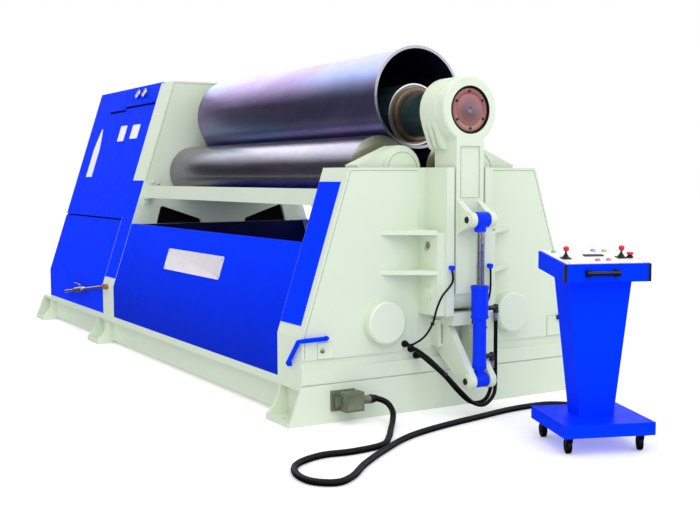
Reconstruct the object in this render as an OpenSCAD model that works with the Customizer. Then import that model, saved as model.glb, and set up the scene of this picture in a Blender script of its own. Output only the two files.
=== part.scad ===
// Three-roll plate rolling machine with a drop-end yoke, its drive cabinet and its
// control console. X runs along the rolls toward the drop end, Y to the back, Z up.
// The origin is the centre of the base frame at floor level. Millimetres.

/* [Base frame] */
// Length of the base frame along the rolls
base_len = 6140; // [6100:10:6300]
// Depth of the base frame over its foot soles
base_depth = 2412; // [2400:4:2440]
// Height of the base frame
base_h = 250; // [235:5:265]
// Thickness of the top flange of the base rails
flange_t = 30; // [20:2:40]
// Width of the top flange of the base rails
flange_w = 220; // [180:10:260]
// How far the foot soles reach past the flange
sole_reach = 95; // [90:1:105]
// Set-back of the rail web behind the flange edge
web_setback = 55; // [45:1:65]
// Thickness of the rail webs and foot gussets
web_t = 20; // [16:1:24]
// Thickness of the foot soles
sole_t = 25; // [20:1:30]
// Radius of the foundation bolt holes
bolt_hole_r = 16; // [12:1:20]
// Distance of the foundation bolts from the ends of the base
bolt_inset = 160; // [150:2:170]

/* [Side frames] */
// Width of the drop-end frame along the rolls
drop_w = 335; // [325:5:345]
// Clear span between the two side frames
roll_span = 3345; // [3200:5:3400]
// Width of the drive-end frame along the rolls
drive_w = 310; // [305:5:330]
// Set-back of the frame foot from the edge of the foot soles
frame_inset = 96; // [92:1:101]
// Height of the fold where the front begins to slope
fold_z = 557; // [550:1:570]
// Slope of the front and back, depth over height
front_slope = 0.326; // [0.31:0.002:0.33]
// Height of the drop-end frame
drop_top = 1620; // [1610:2:1630]
// Height of the drive-end frame
drive_top = 2460; // [2440:5:2500]
// Thickness of the big frame plates
plate_t = 40; // [36:1:44]
// Thickness of the sloping frame walls
wall_t = 20; // [16:1:24]
// Height of the joint between the base block and the drop-end frame
sill_top = 415; // [410:1:425]
// Thickness of the blue sheet covers
sheet_t = 8; // [6:1:10]

/* [Rolls] */
// Height of the top roll axis
top_roll_z = 1990; // [1985:1:2000]
// Radius of the top roll
top_roll_r = 215; // [210:1:218]
// Radius of the top roll journals
top_journal_r = 150; // [140:1:152]
// Radius of the bronze collar beside the top roll
collar_r = 187; // [180:1:192]
// Radius of the two lower rolls
low_roll_r = 235; // [230:1:238]
// Radius of the lower roll journals
low_journal_r = 100; // [95:1:105]
// Distance of each lower roll from the machine centre
low_roll_y = 310; // [300:1:315]
// Outer radius of the rolled plate
shell_r = 355; // [350:1:360]
// Thickness of the rolled plate
shell_t = 20; // [12:1:24]

/* [Swing arms] */
// Distance of each arm pivot from the machine centre
pivot_y = 520; // [510:1:530]
// Height of the arm pivots
pivot_z = 620; // [610:1:630]
// Radius of the pivot tube between the two arms of a roll
pivot_tube_r = 70; // [60:1:80]
// Radius of the bearing head on top of each arm
arm_head_r = 160; // [155:1:165]
// Thickness of each arm along the rolls
arm_t = 150; // [140:1:160]
// Outward swing of the arms in degrees
arm_swing = 5; // [4:0.5:5]
// Radius of the pivot covers on the end plate
pivot_cover_r = 140; // [130:1:150]

/* [Drop-end yoke] */
// Height of the yoke hinge
hinge_z = 800; // [790:1:810]
// Distance of the yoke hinge from the end plate
hinge_out = 120; // [118:1:124]
// Half width of the yoke shank
shank_half = 110; // [105:1:115]
// Distance of the yoke front face from the end plate
yoke_out = 250; // [245:1:255]
// Radius of the yoke head drum
drum_r = 218; // [214:1:225]
// Radius of the front ring of the yoke head
ring_r = 212; // [205:1:213]
// Radius of the cap over the top roll bearing
cap_r = 144; // [138:1:150]
// Radius of the yoke hinge pin
hinge_pin_r = 45; // [40:1:50]

/* [Cylinder] */
// Distance of the cylinder axis from the end plate
cyl_out = 360; // [355:1:365]
// Height of the lower cylinder pin
cyl_low_z = 244; // [240:1:250]
// Height of the rod eye pin
cyl_top_z = 1285; // [1275:1:1295]
// Radius of the cylinder barrel
barrel_r = 44; // [38:1:48]
// Radius of the cylinder head
head_r = 55; // [50:1:60]
// Radius of the piston rod
rod_r = 29; // [25:1:32]
// Radius of the cylinder pins
cyl_pin_r = 22; // [18:1:25]

/* [Cabinet] */
// Length of the drive cabinet along the rolls
cabinet_len = 1860; // [1820:5:1880]
// Height of the seam between the lower and upper doors
door_seam_z = 1160; // [1100:5:1200]
// Thickness of the cabinet doors
door_t = 25; // [20:1:30]

/* [Console] */
// Distance of the console from the end plate along the rolls
console_out = 1249; // [1230:1:1270]
// Distance of the console from the machine centre toward the back
console_y = 135; // [120:1:150]
// Turn of the console about the vertical
console_turn = -20.6; // [-24:0.1:-18]
// Half width of the console desk
desk_half = 255; // [245:1:265]
// Height of the front edge of the console desk
desk_z = 1072; // [1060:1:1085]
// Half width and half depth of the console base
console_base_half = 270; // [262:1:280]

/* [Hidden] */
$fn = 96;
fit = 0.5;
slip = 0.3;
run_gap = 15;
paint = [0.84, 0.88, 0.80];
blue = [0.0, 0.2, 0.95];
steel = [0.45, 0.45, 0.5];
bronze = [0.65, 0.45, 0.35];
black = [0.05, 0.05, 0.05];

x_end = base_len / 2;
frame_half = base_depth / 2 - frame_inset;
x_drop = x_end - drop_w;
x_drive = x_drop - roll_span;
x_back = x_drive - drive_w;
x_cab = x_back - cabinet_len;
sole_half = base_depth / 2;
flange_half = sole_half - sole_reach;
web_half = flange_half - web_setback;
sill_z = base_h + 25;
foot_spans = [[x_end - 320, x_end], [x_back - 210, x_drive - 200], [-x_end, -x_end + 300]];
gusset_arc = 170;

shell_z = top_roll_z - top_roll_r - slip + shell_r - shell_t;
low_roll_z = shell_z - sqrt(pow(shell_r + low_roll_r + slip, 2) - pow(low_roll_y, 2));
roll_clear = 20;
arm_x_drop = x_drop + drop_w / 2 - arm_t / 2 - 8;
arm_x_drive = x_back + drive_w / 2 - arm_t / 2;
bearing_cap_t = 26;
swing_dy = low_roll_z - pivot_z;

hinge_x = x_end + hinge_out;
yoke_x = x_end + yoke_out;
drum_x = x_end - 10;
ring_x = yoke_x - 95;
cheek_in = shank_half + run_gap;
cheek_out = cheek_in + 58;
boss_r = hinge_out - 5;
cyl_x = x_end + cyl_out;
console_x = x_end + console_out;
eye_half = 50;
lug_in = eye_half + 6;
lug_t = 44;
pivot_cover_t = 80;
foot_half = cheek_in + 10;
post_foot = sill_top + 20;
cheek_low = hinge_z - 140;
desk_depth = 420;
desk_back = -220;
desk_rise = 48;
desk_t = 102;
cover_top = door_seam_z - 30;
console_floor = 106;
console_base_t = 74;

// Routes of the cable and hoses, centre lines from end to end. Each point gives its distance
// out from the end plate, its distance toward the back and its height
cable_r = 19;
cable_route = from_end([[78, -664, 142], [79, -616, 142], [142, -574, 122], [225, -582, 82],
    [315, -640, 45], [420, -722, 25], [560, -826, 20], [695, -960, 19], [730, -1180, 19],
    [710, -1370, 19], [790, -1560, 19], [940, -1655, 19], [1110, -1660, 19],
    [1205, -1560, 19], [1150, -1430, 19], [980, -1250, 19], [790, -1000, 19],
    [610, -715, 19], [500, -400, 19], [420, -50, 19], [350, 300, 19], [370, 600, 20],
    [570, 740, 22], [810, 560, 50], [960, 262, 225], [1040, 214, 257], [1122, 183, 260]]);
hose_r = 13;
hose_upper = from_end([[340, 148, 689], [340, 148, 400], [342, 146, 240], [360, 122, 140],
    [370, 40, 82], [368, -50, 100], [355, -140, 180], [300, -225, 290], [190, -282, 385],
    [72, -296, 427], [32, -296, 427]]);
hose_lower = from_end([[340, 118, 375], [340, 118, 260], [335, 110, 165], [330, 76, 106],
    [328, 10, 88], [324, -60, 108], [305, -135, 180], [250, -200, 275], [150, -246, 350],
    [72, -252, 380], [32, -252, 380]]);
lock_r = 7;
lock_front = from_end([[273, -155, 954], [273, -155, 880], [265, -225, 800],
    [255, -262, 720], [245, -290, 620], [200, -325, 530], [80, -345, 462], [32, -345, 462]]);
lock_rear = from_end([[273, 155, 954], [273, 155, 820], [273, 130, 740], [272, 75, 690],
    [270, 25, 650], [268, 18, 610], [268, 70, 582], [250, 140, 566], [180, 182, 548],
    [90, 192, 538], [32, 192, 538]]);

function from_end(route) = [for (p = route) [x_end + p.x, p.y, p.z]];

// Half depth of the sloping outline at a height
function half_y(z) = z < fold_z ? frame_half : frame_half - front_slope * (z - fold_z);

// Points of one long side of the outline, inset by a set distance
function side_points(s, zs, inset) = [for (z = zs) [s * (half_y(z) - inset), z]];

// Heights at which a side has a corner between two heights
function corner_heights(z0, z1) =
    concat([z0], z0 < fold_z && fold_z < z1 ? [fold_z] : [], [z1]);

function reversed(v) = [for (i = [len(v) - 1 : -1 : 0]) v[i]];

// Points of a smooth curve through a route, with a number of steps between points
function curve_point(a, b, c, d, t) = 0.5 * (2 * b + (c - a) * t
    + (2 * a - 5 * b + 4 * c - d) * t * t + (3 * b - a - 3 * c + d) * t * t * t);
function smooth_route(p, steps) = concat([for (i = [0 : len(p) - 2]) for (k = [0 : steps - 1])
    curve_point(p[max(i - 1, 0)], p[i], p[i + 1], p[min(i + 2, len(p) - 1)], k / steps)],
    [p[len(p) - 1]]);

function unit(v) = v / norm(v);

// Ring of points about one point of a route
function route_ring(p, i, r, sides) = let (
    along = unit(p[min(i + 1, len(p) - 1)] - p[max(i - 1, 0)]),
    across_dir = unit(abs(along.z) < 0.9 ? cross(along, [0, 0, 1]) : cross(along, [1, 0, 0])),
    up_dir = cross(across_dir, along))
    [for (k = [0 : sides - 1]) p[i] + r * (cos(k * 360 / sides) * across_dir
        + sin(k * 360 / sides) * up_dir)];

// Round tube swept along a route
module tube(route, r, sides, steps) {
    p = smooth_route(route, steps);
    n = len(p);
    rings = [for (i = [0 : n - 1]) each route_ring(p, i, r, sides)];
    walls = [for (i = [0 : n - 2]) for (k = [0 : sides - 1])
        let (a = i * sides + k, b = i * sides + (k + 1) % sides)
        [a, b, b + sides, a + sides]];
    caps = [[for (k = [sides - 1 : -1 : 0]) k], [for (k = [0 : sides - 1]) (n - 1) * sides + k]];
    polyhedron(rings, concat(caps, walls));
}

// Extrudes an outline drawn in depth and height along the rolls
module across(x0, x1) {
    translate([x0, 0, 0]) rotate([90, 0, 90]) linear_extrude(x1 - x0) children();
}

// Extrudes an outline drawn in length and height toward the back
module deep(y0, y1) {
    translate([0, y1, 0]) rotate([90, 0, 0]) linear_extrude(y1 - y0) children();
}

// Cylinder lying along the rolls
module roll_bar(x0, x1, r) {
    translate([x0, 0, 0]) rotate([0, 90, 0]) cylinder(h = x1 - x0, r = r);
}

// Cylinder lying from front to back
module cross_bar(y0, y1, r) {
    translate([0, y0, 0]) rotate([-90, 0, 0]) cylinder(h = y1 - y0, r = r);
}

// Outline of a side frame with its sloping front and back
module frame_outline(z0, z1, inset) {
    zs = corner_heights(z0, z1);
    polygon(concat(side_points(-1, zs, inset), reversed(side_points(1, zs, inset))));
}

// Strip of a sloping wall between two heights, given by two insets from the outline
module skin(s, z0, z1, inset0, inset1) {
    zs = corner_heights(z0, z1);
    polygon(concat(side_points(s, zs, inset0), reversed(side_points(s, zs, inset1))));
}

module pivot_bores(r) {
    for (s = [-1, 1]) translate([s * pivot_y, pivot_z]) circle(r);
}

module base_rails() color(paint) {
    for (s = [-1, 1]) across(-x_end + web_t, x_end - web_t) {
        rail_side(s, flange_half - flange_w, flange_half, base_h - flange_t, base_h);
        rail_side(s, web_half - web_t, web_half, 30, base_h - flange_t);
        rail_side(s, web_half - 120, web_half - web_t, 30, 50);
    }
}

// Rectangle of a rail section on one side of the machine
module rail_side(s, y0, y1, z0, z1) {
    translate([s > 0 ? y0 : -y1, z0]) square([y1 - y0, z1 - z0]);
}

module base_cross_beams() color(paint) {
    for (s = [-1, 1]) across(s > 0 ? x_end - web_t : -x_end, s > 0 ? x_end : -x_end + web_t)
        polygon([[-sole_half, 0], [sole_half, 0], [flange_half, base_h], [-flange_half, base_h]]);
    for (x = [foot_spans[0][0], foot_spans[1][0], foot_spans[1][1] - web_t,
        foot_spans[2][1] - web_t]) across(x, x + web_t)
        translate([web_t - web_half, 60])
            square([2 * (web_half - web_t), base_h - flange_t - 60]);
}

// Side view of a foot gusset with its hollow front edge
module gusset_outline() {
    low = [sole_half, sole_t + 20];
    high = [flange_half, base_h - flange_t];
    along = (high - low) / norm(high - low);
    middle = (high + low) / 2 + gusset_arc * [along.y, -along.x];
    difference() {
        polygon([[web_half, sole_t], [sole_half, sole_t], low, high,
            [web_half, base_h - flange_t]]);
        translate(middle) circle(norm(high - middle));
    }
}

module base_feet() color(paint) {
    for (s = [-1, 1]) for (f = foot_spans) difference() {
        union() {
            x0 = f[0] + (f[0] == -x_end ? web_t : 0);
            x1 = f[1] - (f[1] == x_end ? web_t : 0);
            across(x0, x1) rail_side(s, web_half, sole_half, 0, sole_t);
            if (f[0] != -x_end) across(f[0], f[0] + web_t) mirror([s < 0 ? 1 : 0, 0])
                gusset_outline();
            if (f[1] != x_end) across(f[1] - web_t, f[1]) mirror([s < 0 ? 1 : 0, 0])
                gusset_outline();
        }
        translate([foot_bolt_x(f), s * foot_bolt_y, -1]) cylinder(h = sole_t + 2, r = bolt_hole_r);
    }
}

function foot_bolt_x(f) = f[1] == x_end ? x_end - bolt_inset
    : f[0] == -x_end ? -x_end + bolt_inset : (f[0] + f[1]) / 2;
foot_bolt_y = sole_half - 52;

module cover_sills() color(paint) {
    for (s = [-1, 1]) {
        across(x_drive, x_drop) rail_side(s, frame_half - 70, frame_half, base_h, sill_z);
        across(x_cab, x_back) rail_side(s, frame_half - 70, frame_half, base_h, sill_z);
    }
}

module drop_end_sill() color(paint) {
    difference() {
        union() {
            across(x_drop, x_end - 12) rail_box(frame_half, base_h, sill_top);
            across(x_end - 14, x_end) rail_box(frame_half, base_h + 8, sill_top - 60);
        }
        across(x_drop + plate_t, x_end - plate_t)
            rail_box(frame_half - plate_t, base_h - 1, sill_top + 1);
    }
}

module rail_box(half, z0, z1) {
    translate([-half, z0]) square([2 * half, z1 - z0]);
}

module drop_end_outer_plate() color(paint) {
    across(x_end - plate_t, x_end) difference() {
        frame_outline(sill_top, drop_top, 0);
        pivot_bores(pivot_tube_r + fit);
    }
}

// Slot that a lower roll journal sweeps as its arms swing
module journal_slot(s, r) {
    for (a = [0, arm_swing]) translate(journal_at(s, a)) circle(r);
    translate([s > 0 ? low_roll_y : -journal_at(1, arm_swing)[0], low_roll_z - r])
        square([journal_at(1, arm_swing)[0] - low_roll_y, 2 * r]);
}

// Place of a lower roll axis after its arms swing outward
function journal_at(s, a) = [s * (pivot_y - (pivot_y - low_roll_y) * cos(a) + swing_dy * sin(a)),
    pivot_z + swing_dy * cos(a) + (pivot_y - low_roll_y) * sin(a)];

module drop_end_inner_plate() color(paint) {
    slot_r = low_journal_r + 32;
    out = journal_at(1, arm_swing)[0];
    across(x_drop, x_drop + plate_t) difference() {
        frame_outline(sill_top, drop_top, 0);
        pivot_bores(pivot_tube_r + fit);
        for (s = [-1, 1]) {
            journal_slot(s, slot_r);
            translate([s > 0 ? low_roll_y - slot_r : -out - slot_r, low_roll_z])
                square([out - low_roll_y + 2 * slot_r, 200]);
        }
    }
}

module drop_end_walls() color(paint) {
    for (s = [-1, 1]) across(x_drop + plate_t, x_end - plate_t)
        skin(s, sill_top, drop_top, 0, wall_t);
}

roof_z = drop_top - 60;
roof_half = half_y(roof_z + wall_t) - wall_t - 4;
module drop_end_top() color(paint) {
    inner = low_roll_y - 200;
    difference() {
        across(x_drop + plate_t, x_end - plate_t)
            rail_box(roof_half, roof_z, roof_z + wall_t);
        for (s = [-1, 1]) translate([x_drop, s > 0 ? inner : 122 - roof_half, roof_z - 1])
            cube([arm_x_drop + arm_t + bearing_cap_t + 20 - x_drop, roof_half - 122 - inner,
                wall_t + 2]);
    }
}

module post() color(paint) {
    difference() {
        union() {
            for (s = [-1, 1]) {
                translate([x_end, s > 0 ? cheek_in : -cheek_out, cheek_low])
                    cube([yoke_out, cheek_out - cheek_in, drop_top - cheek_low]);
                translate([x_end, s > 0 ? cheek_in : -cheek_out - 52, cheek_low])
                    cube([yoke_out - 30, cheek_out - cheek_in + 52, cyl_top_z - 85 - cheek_low]);
            }
            difference() {
                translate([x_end, -foot_half, post_foot]) cube([90, 2 * foot_half, 180]);
                translate([x_end + 78, 24 - foot_half, post_foot + 20])
                    cube([13, 2 * foot_half - 48, 140]);
            }
            translate([x_end, -shank_half, post_foot + 155])
                cube([yoke_out - 20, 2 * shank_half, cheek_low + 12 - post_foot - 155]);
        }
        translate([hinge_x, 0, hinge_z]) cross_bar(-cheek_out - 60, cheek_out + 60,
            hinge_pin_r + slip);
    }
}

module post_ribs() color(paint) {
    for (s = [-1, 1]) for (rib = [[cyl_top_z - 99, 30], [hinge_z + 128, 28]])
        translate([0, 0, rib[0]]) mirror([0, s < 0 ? 1 : 0, 0]) linear_extrude(rib[1])
            polygon([[x_end, cheek_out + 52], [x_end, cheek_out + 349],
                [x_end + yoke_out - 30, cheek_out + 52]]);
}

module pivot_covers() color(paint) {
    for (s = [-1, 1]) translate([0, s * pivot_y, pivot_z]) {
        roll_bar(x_end, x_end + pivot_cover_t - 12, pivot_cover_r);
        translate([x_end + pivot_cover_t - 12, 0, 0]) rotate([0, 90, 0])
            cylinder(h = 12, r1 = pivot_cover_r, r2 = pivot_cover_r - 12);
    }
}

module drive_end_inner_plate() color(paint) {
    across(x_drive - plate_t, x_drive) difference() {
        frame_outline(base_h, drive_top, 0);
        pivot_bores(pivot_tube_r + fit);
        translate([0, top_roll_z]) circle(top_journal_r + slip);
        for (s = [-1, 1]) {
            journal_slot(s, low_journal_r + 32);
            mirror([s < 0 ? 1 : 0, 0]) arm_window();
        }
    }
}

// Opening with a sloping top through which the swing arms can be reached
module arm_window() {
    translate([0, cover_top]) polygon([[226, -4], [232, 26], [250, 38], [600, 156],
        [620, 160], [640, 150], [675, 20], [678, -4]]);
}

module drive_end_outer_plate() color(paint) {
    across(x_back, x_back + plate_t) difference() {
        frame_outline(base_h, drive_top, 0);
        pivot_bores(pivot_tube_r + fit);
    }
}

module drive_end_walls() color(paint) {
    for (s = [-1, 1]) across(x_back + plate_t, x_drive - plate_t)
        skin(s, base_h, drive_top, 0, wall_t);
}

module drive_end_top() color(paint) {
    across(x_back + plate_t, x_drive - plate_t) rail_box(half_y(drive_top) - wall_t,
        drive_top - wall_t, drive_top);
}

strip_low = fold_z + 73;
strip_top = drop_top - 90;
module blue_corner_panels() color(blue) {
    for (s = [-1, 1]) {
        across(x_drop + 8, x_end - plate_t - 12) skin(s, strip_low, strip_top, -4, -0.05);
        across(x_back + 15, x_drive - 5) skin(s, strip_low, strip_top, -4, -0.05);
    }
}

// Folded sheet between the side frames with a lip along its top edge
module sheet_cover(s) {
    lip_z = cover_top - sheet_t;
    across(x_drive + 2, x_drop - 2) polygon(concat(
        side_points(s, corner_heights(sill_z, cover_top), 0),
        side_points(s, [cover_top, lip_z], 60),
        reversed(side_points(s, corner_heights(sill_z, lip_z), sheet_t))));
}

module front_cover() color(blue) sheet_cover(-1);
module rear_cover() color(blue) sheet_cover(1);

rail_top = drop_top - 138;
rail_low = rail_top - 110;
rail_half = half_y(rail_top) - 2.45;
module plate_rails() color(paint) {
    for (s = [-1, 1]) across(x_drive, x_drop) {
        rail_side(s, rail_half - 12, rail_half, rail_low, rail_top);
        rail_side(s, rail_half - 62, rail_half - 12, rail_top - 12, rail_top);
        rail_side(s, rail_half - 62, rail_half - 12, rail_low, rail_low + 12);
    }
}

module inner_end_panel() color(blue) {
    across(x_drive, x_drive + 6) difference() {
        frame_outline(sill_z, cover_top - 4, 60);
        pivot_bores(pivot_tube_r + 12);
    }
}

module cabinet_body() color(blue) {
    across(x_cab, x_back) frame_outline(sill_z, drive_top + 12, door_t);
}

module cabinet_upper_door() color(blue) {
    across(x_cab, x_back) skin(-1, door_seam_z + 8, drive_top + 12, 0, door_t);
}

module cabinet_lower_door() color(blue) {
    across(x_cab, x_back) skin(-1, sill_z, door_seam_z - 8, 0, door_t);
}

gauge_z = drive_top - 73;
module pressure_gauges() color("white") {
    for (x = [x_back - 555, x_back - 365]) translate([x, -half_y(gauge_z) - 0.05, gauge_z])
        rotate([90 - atan(front_slope), 0, 0]) cylinder(h = 22, r = 45);
}

pipe_low = [x_cab + 730, -frame_half - 42, sill_z + 109];
pipe_high = [x_back + drive_w / 2 - 40, -frame_half - 42, fold_z - 17];
function on_pipe(t) = pipe_low + t * (pipe_high - pipe_low);
module drain_valve() color(steel) {
    round_bar(pipe_low, pipe_high, 14);
    round_bar(on_pipe(0.30), on_pipe(0.50), 27);
    for (t = [0.06, 0.84]) translate([on_pipe(t).x, 0, on_pipe(t).z])
        cross_bar(-frame_half - 42, -frame_half, 11);
}
module drain_fittings() color(bronze) {
    round_bar(pipe_high, pipe_high + 0.04 * (pipe_high - pipe_low), 20);
    translate([pipe_high.x + 25, 0, pipe_high.z + 3]) cross_bar(-frame_half - 42, -frame_half, 24);
}

// Round bar from one point to another
module round_bar(a, b, r) {
    along = b - a;
    translate(a) rotate([0, acos(along.z / norm(along)), atan2(along.y, along.x)])
        cylinder(h = norm(along), r = r);
}

module corner_bar() color(blue) {
    bar_r = 15;
    end_out = x_end + 28;
    front_out = -frame_half - 28;
    high = fold_z - 9;
    low = sill_top - 37;
    tube([[x_end, front_out + 198, high], [end_out - 10, front_out + 198, high],
        [end_out, front_out + 188, high], [end_out, front_out + 30, high - 2],
        [end_out - 24, front_out + 2, high - 8], [x_end - 137, front_out, low + 6],
        [x_end - 147, front_out + 8, low], [x_end - 147, -frame_half, low]], bar_r, 12, 1);
}

module power_connector() color(steel) {
    translate([0, cable_route[0].y - 136, cable_route[0].z]) {
        translate([x_end, -108, -64]) cube([22, 176, 130]);
        translate([x_end + 22, -84, -52]) cube([22, 146, 106]);
        translate([x_end + 44, -66, -60]) cube([82, 136, 122]);
        translate([x_end + 40, -96, -30]) cube([30, 34, 60]);
        translate([cable_route[0].x, 0, 0]) cross_bar(60, 137, cable_r + 8);
    }
}

module control_cable() color(black) tube(cable_route, cable_r, 8, 2);
module cylinder_hose_upper() color(black) tube(hose_upper, hose_r, 8, 1);
module cylinder_hose_lower() color(black) tube(hose_lower, hose_r, 8, 1);
module lock_hose_front() color(black) tube(lock_front, lock_r, 8, 1);
module lock_hose_rear() color(black) tube(lock_rear, lock_r, 8, 1);

module cylinder_bracket() color(paint) {
    for (s = [-1, 1]) difference() {
        union() {
            deep(s > 0 ? lug_in : -lug_in - lug_t, s > 0 ? lug_in + lug_t : -lug_in) {
                polygon([[x_end, sill_top + 5], [x_end, post_foot - 0.1],
                    [x_end + 90, post_foot - 0.1], [x_end + 90, post_foot + 154.9],
                    [x_end + 150, post_foot + 154.9],
                    [cyl_x + 37, cyl_low_z + 38], [cyl_x + 37, cyl_low_z - 38],
                    [cyl_x - 30, cyl_low_z - 44]]);
                translate([cyl_x, cyl_low_z]) circle(54);
            }
            if (s < 0) translate([cyl_x, 0, cyl_low_z])
                cross_bar(-lug_in - lug_t - 12, -lug_in, 46);
        }
        translate([cyl_x, 0, cyl_low_z]) cross_bar(-200, 200, cyl_pin_r);
    }
    translate([cyl_x, 0, cyl_low_z]) cross_bar(-lug_in - lug_t - 8, lug_in + lug_t + 3,
        cyl_pin_r);
}

module yoke_hinge_pin() color(steel) {
    translate([hinge_x, 0, hinge_z]) cross_bar(-cheek_out - 62, cheek_out + 62, hinge_pin_r);
}

module hose_fittings() color(blue) {
    for (route = [lock_front, lock_rear])
        translate([x_end + yoke_out, route[0].y, route[0].z + 21]) {
            rotate([0, 90, 0]) cylinder(h = 34, r = 15);
            translate([23, 0, -20]) cylinder(h = 20, r = 12);
        }
    for (route = [hose_upper, hose_lower, lock_front, lock_rear])
        let (tip = route[len(route) - 1]) translate([0, tip.y, tip.z])
            roll_bar(x_end, tip.x - slip, 16);
}

module rolled_shell() color(steel) {
    translate([0, 0, shell_z]) difference() {
        roll_bar(x_drive + 250, x_drop - 15, shell_r);
        roll_bar(x_drive + 249, x_drop - 14, shell_r - shell_t);
    }
}

module at_console() {
    translate([console_x, console_y, 0]) rotate([0, 0, console_turn]) children();
}

module console_base() color(blue) at_console() {
    translate([-console_base_half, -console_base_half, console_floor])
        cube([2 * console_base_half, 2 * console_base_half, console_base_t]);
}

pedestal_z = console_floor + console_base_t;
module console_pedestal() color(blue) at_console() {
    intersection() {
        deep(-250, 250) polygon([[-100, pedestal_z], [70, pedestal_z], [110, desk_low(110) - 0.2],
            [-140, desk_low(-140) - 0.2]]);
        across(-200, 200) polygon([[-105, pedestal_z], [105, pedestal_z], [200, desk_z + 50],
            [-200, desk_z + 50]]);
    }
    translate([0, 0, cable_route[len(cable_route) - 1].z]) roll_bar(-135, -90, cable_r + 8);
}

// Height of the underside of the desk at a distance from the console centre
function desk_low(x) = desk_z - desk_t + desk_rise * (desk_back + desk_depth - x) / desk_depth;

module console_desk() color(blue) at_console() {
    front = desk_back + desk_depth;
    deep(-desk_half, desk_half) polygon([[desk_back, desk_low(desk_back)],
        [front, desk_low(front)], [front, desk_low(front) + desk_t],
        [desk_back, desk_low(desk_back) + desk_t]]);
}

module console_panel() color("white") at_console() {
    front = desk_back + desk_depth - 14;
    back = desk_back + 14;
    deep(14 - desk_half, desk_half - 14) polygon([[back, desk_low(back) + desk_t],
        [front, desk_low(front) + desk_t], [front, desk_low(front) + desk_t + 4],
        [back, desk_low(back) + desk_t + 4]]);
}

module on_panel(x, y) {
    translate([x, y, desk_low(x) + desk_t + 4.05]) rotate([0, atan(desk_rise / desk_depth), 0])
        children();
}

module console_controls() color(black) at_console() {
    for (y = [-190, 145]) on_panel(45, y) {
        translate([-16, -16, 0]) cube([44, 32, 9]);
        translate([0, 0, 9]) cylinder(h = 22, r1 = 11, r2 = 8);
    }
    on_panel(50, 195) translate([-24, -36, 0]) cube([48, 72, 12]);
    on_panel(-25, 5) translate([-20, -58, 0]) cube([40, 116, 10]);
    for (spot = [[-170, 65], [-160, 132], [118, -28], [112, 40], [-150, -186]])
        on_panel(spot.x, spot.y) cylinder(h = 8, r = 15);
}
module console_buttons() color("red") at_console() {
    for (y = [-190, 145]) on_panel(45, y) translate([0, 0, 31]) {
        cylinder(h = 10, r = 9);
        translate([0, 0, 10]) cylinder(h = 18, r = 19);
    }
    on_panel(50, 195) translate([0, 0, 12]) cylinder(h = 26, r = 17);
    for (spot = [[-170, 65], [-160, 132], [118, -28], [112, 40], [-150, -186]])
        on_panel(spot.x, spot.y) translate([0, 0, 8]) cylinder(h = 9, r = 11);
}
module console_handle() color(black) at_console() {
    front = desk_back + desk_depth;
    for (y = [-122, 47]) translate([front, y - 13, desk_z - 70]) cube([30, 26, 40]);
    translate([front + 30, 0, desk_z - 50]) cross_bar(-122 - 13, 47 + 13, 13);
    for (s = [-1, 1]) {
        translate([front, s > 0 ? desk_half - 13 : -desk_half - 3, desk_z - desk_t])
            cube([3, 16, desk_t]);
        translate([front - 13, s > 0 ? desk_half : -desk_half - 3, desk_z - desk_t + 2])
            cube([16, 3, desk_t - 2]);
    }
}

module console_casters() color(black) at_console() {
    for (x = [-1, 1]) for (y = [-1, 1])
        translate([x * (console_base_half - 75), y * (console_base_half - 55), 0]) {
        translate([0, 0, 46]) cross_bar(-14, 14, 46);
        for (s = [-1, 1]) translate([-28, s > 0 ? 14 : -18, 40]) cube([56, 4, 60]);
        translate([-30, -22, console_floor - 8]) cube([60, 44, 8]);
    }
}

module top_roll() color(steel) {
    translate([0, 0, top_roll_z]) {
        roll_bar(x_drive + 40, x_drop - 55, top_roll_r);
        roll_bar(x_drop - 55, x_drop - 12, collar_r);
        roll_bar(x_drop - 12, x_end + 210, top_journal_r);
        roll_bar(x_back + plate_t + 12, x_drive + 40, top_journal_r);
    }
}

// Web below the drum, drawn in depth and height
module yoke_web() {
    polygon([[-drum_r + 3, top_roll_z - 15], [-drum_r + 14, top_roll_z - 95],
        [-drum_r + 64, top_roll_z - 232], [-drum_r + 78, top_roll_z - 252],
        [drum_r - 78, top_roll_z - 252], [drum_r - 64, top_roll_z - 232],
        [drum_r - 14, top_roll_z - 95], [drum_r - 3, top_roll_z - 15]]);
}

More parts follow.
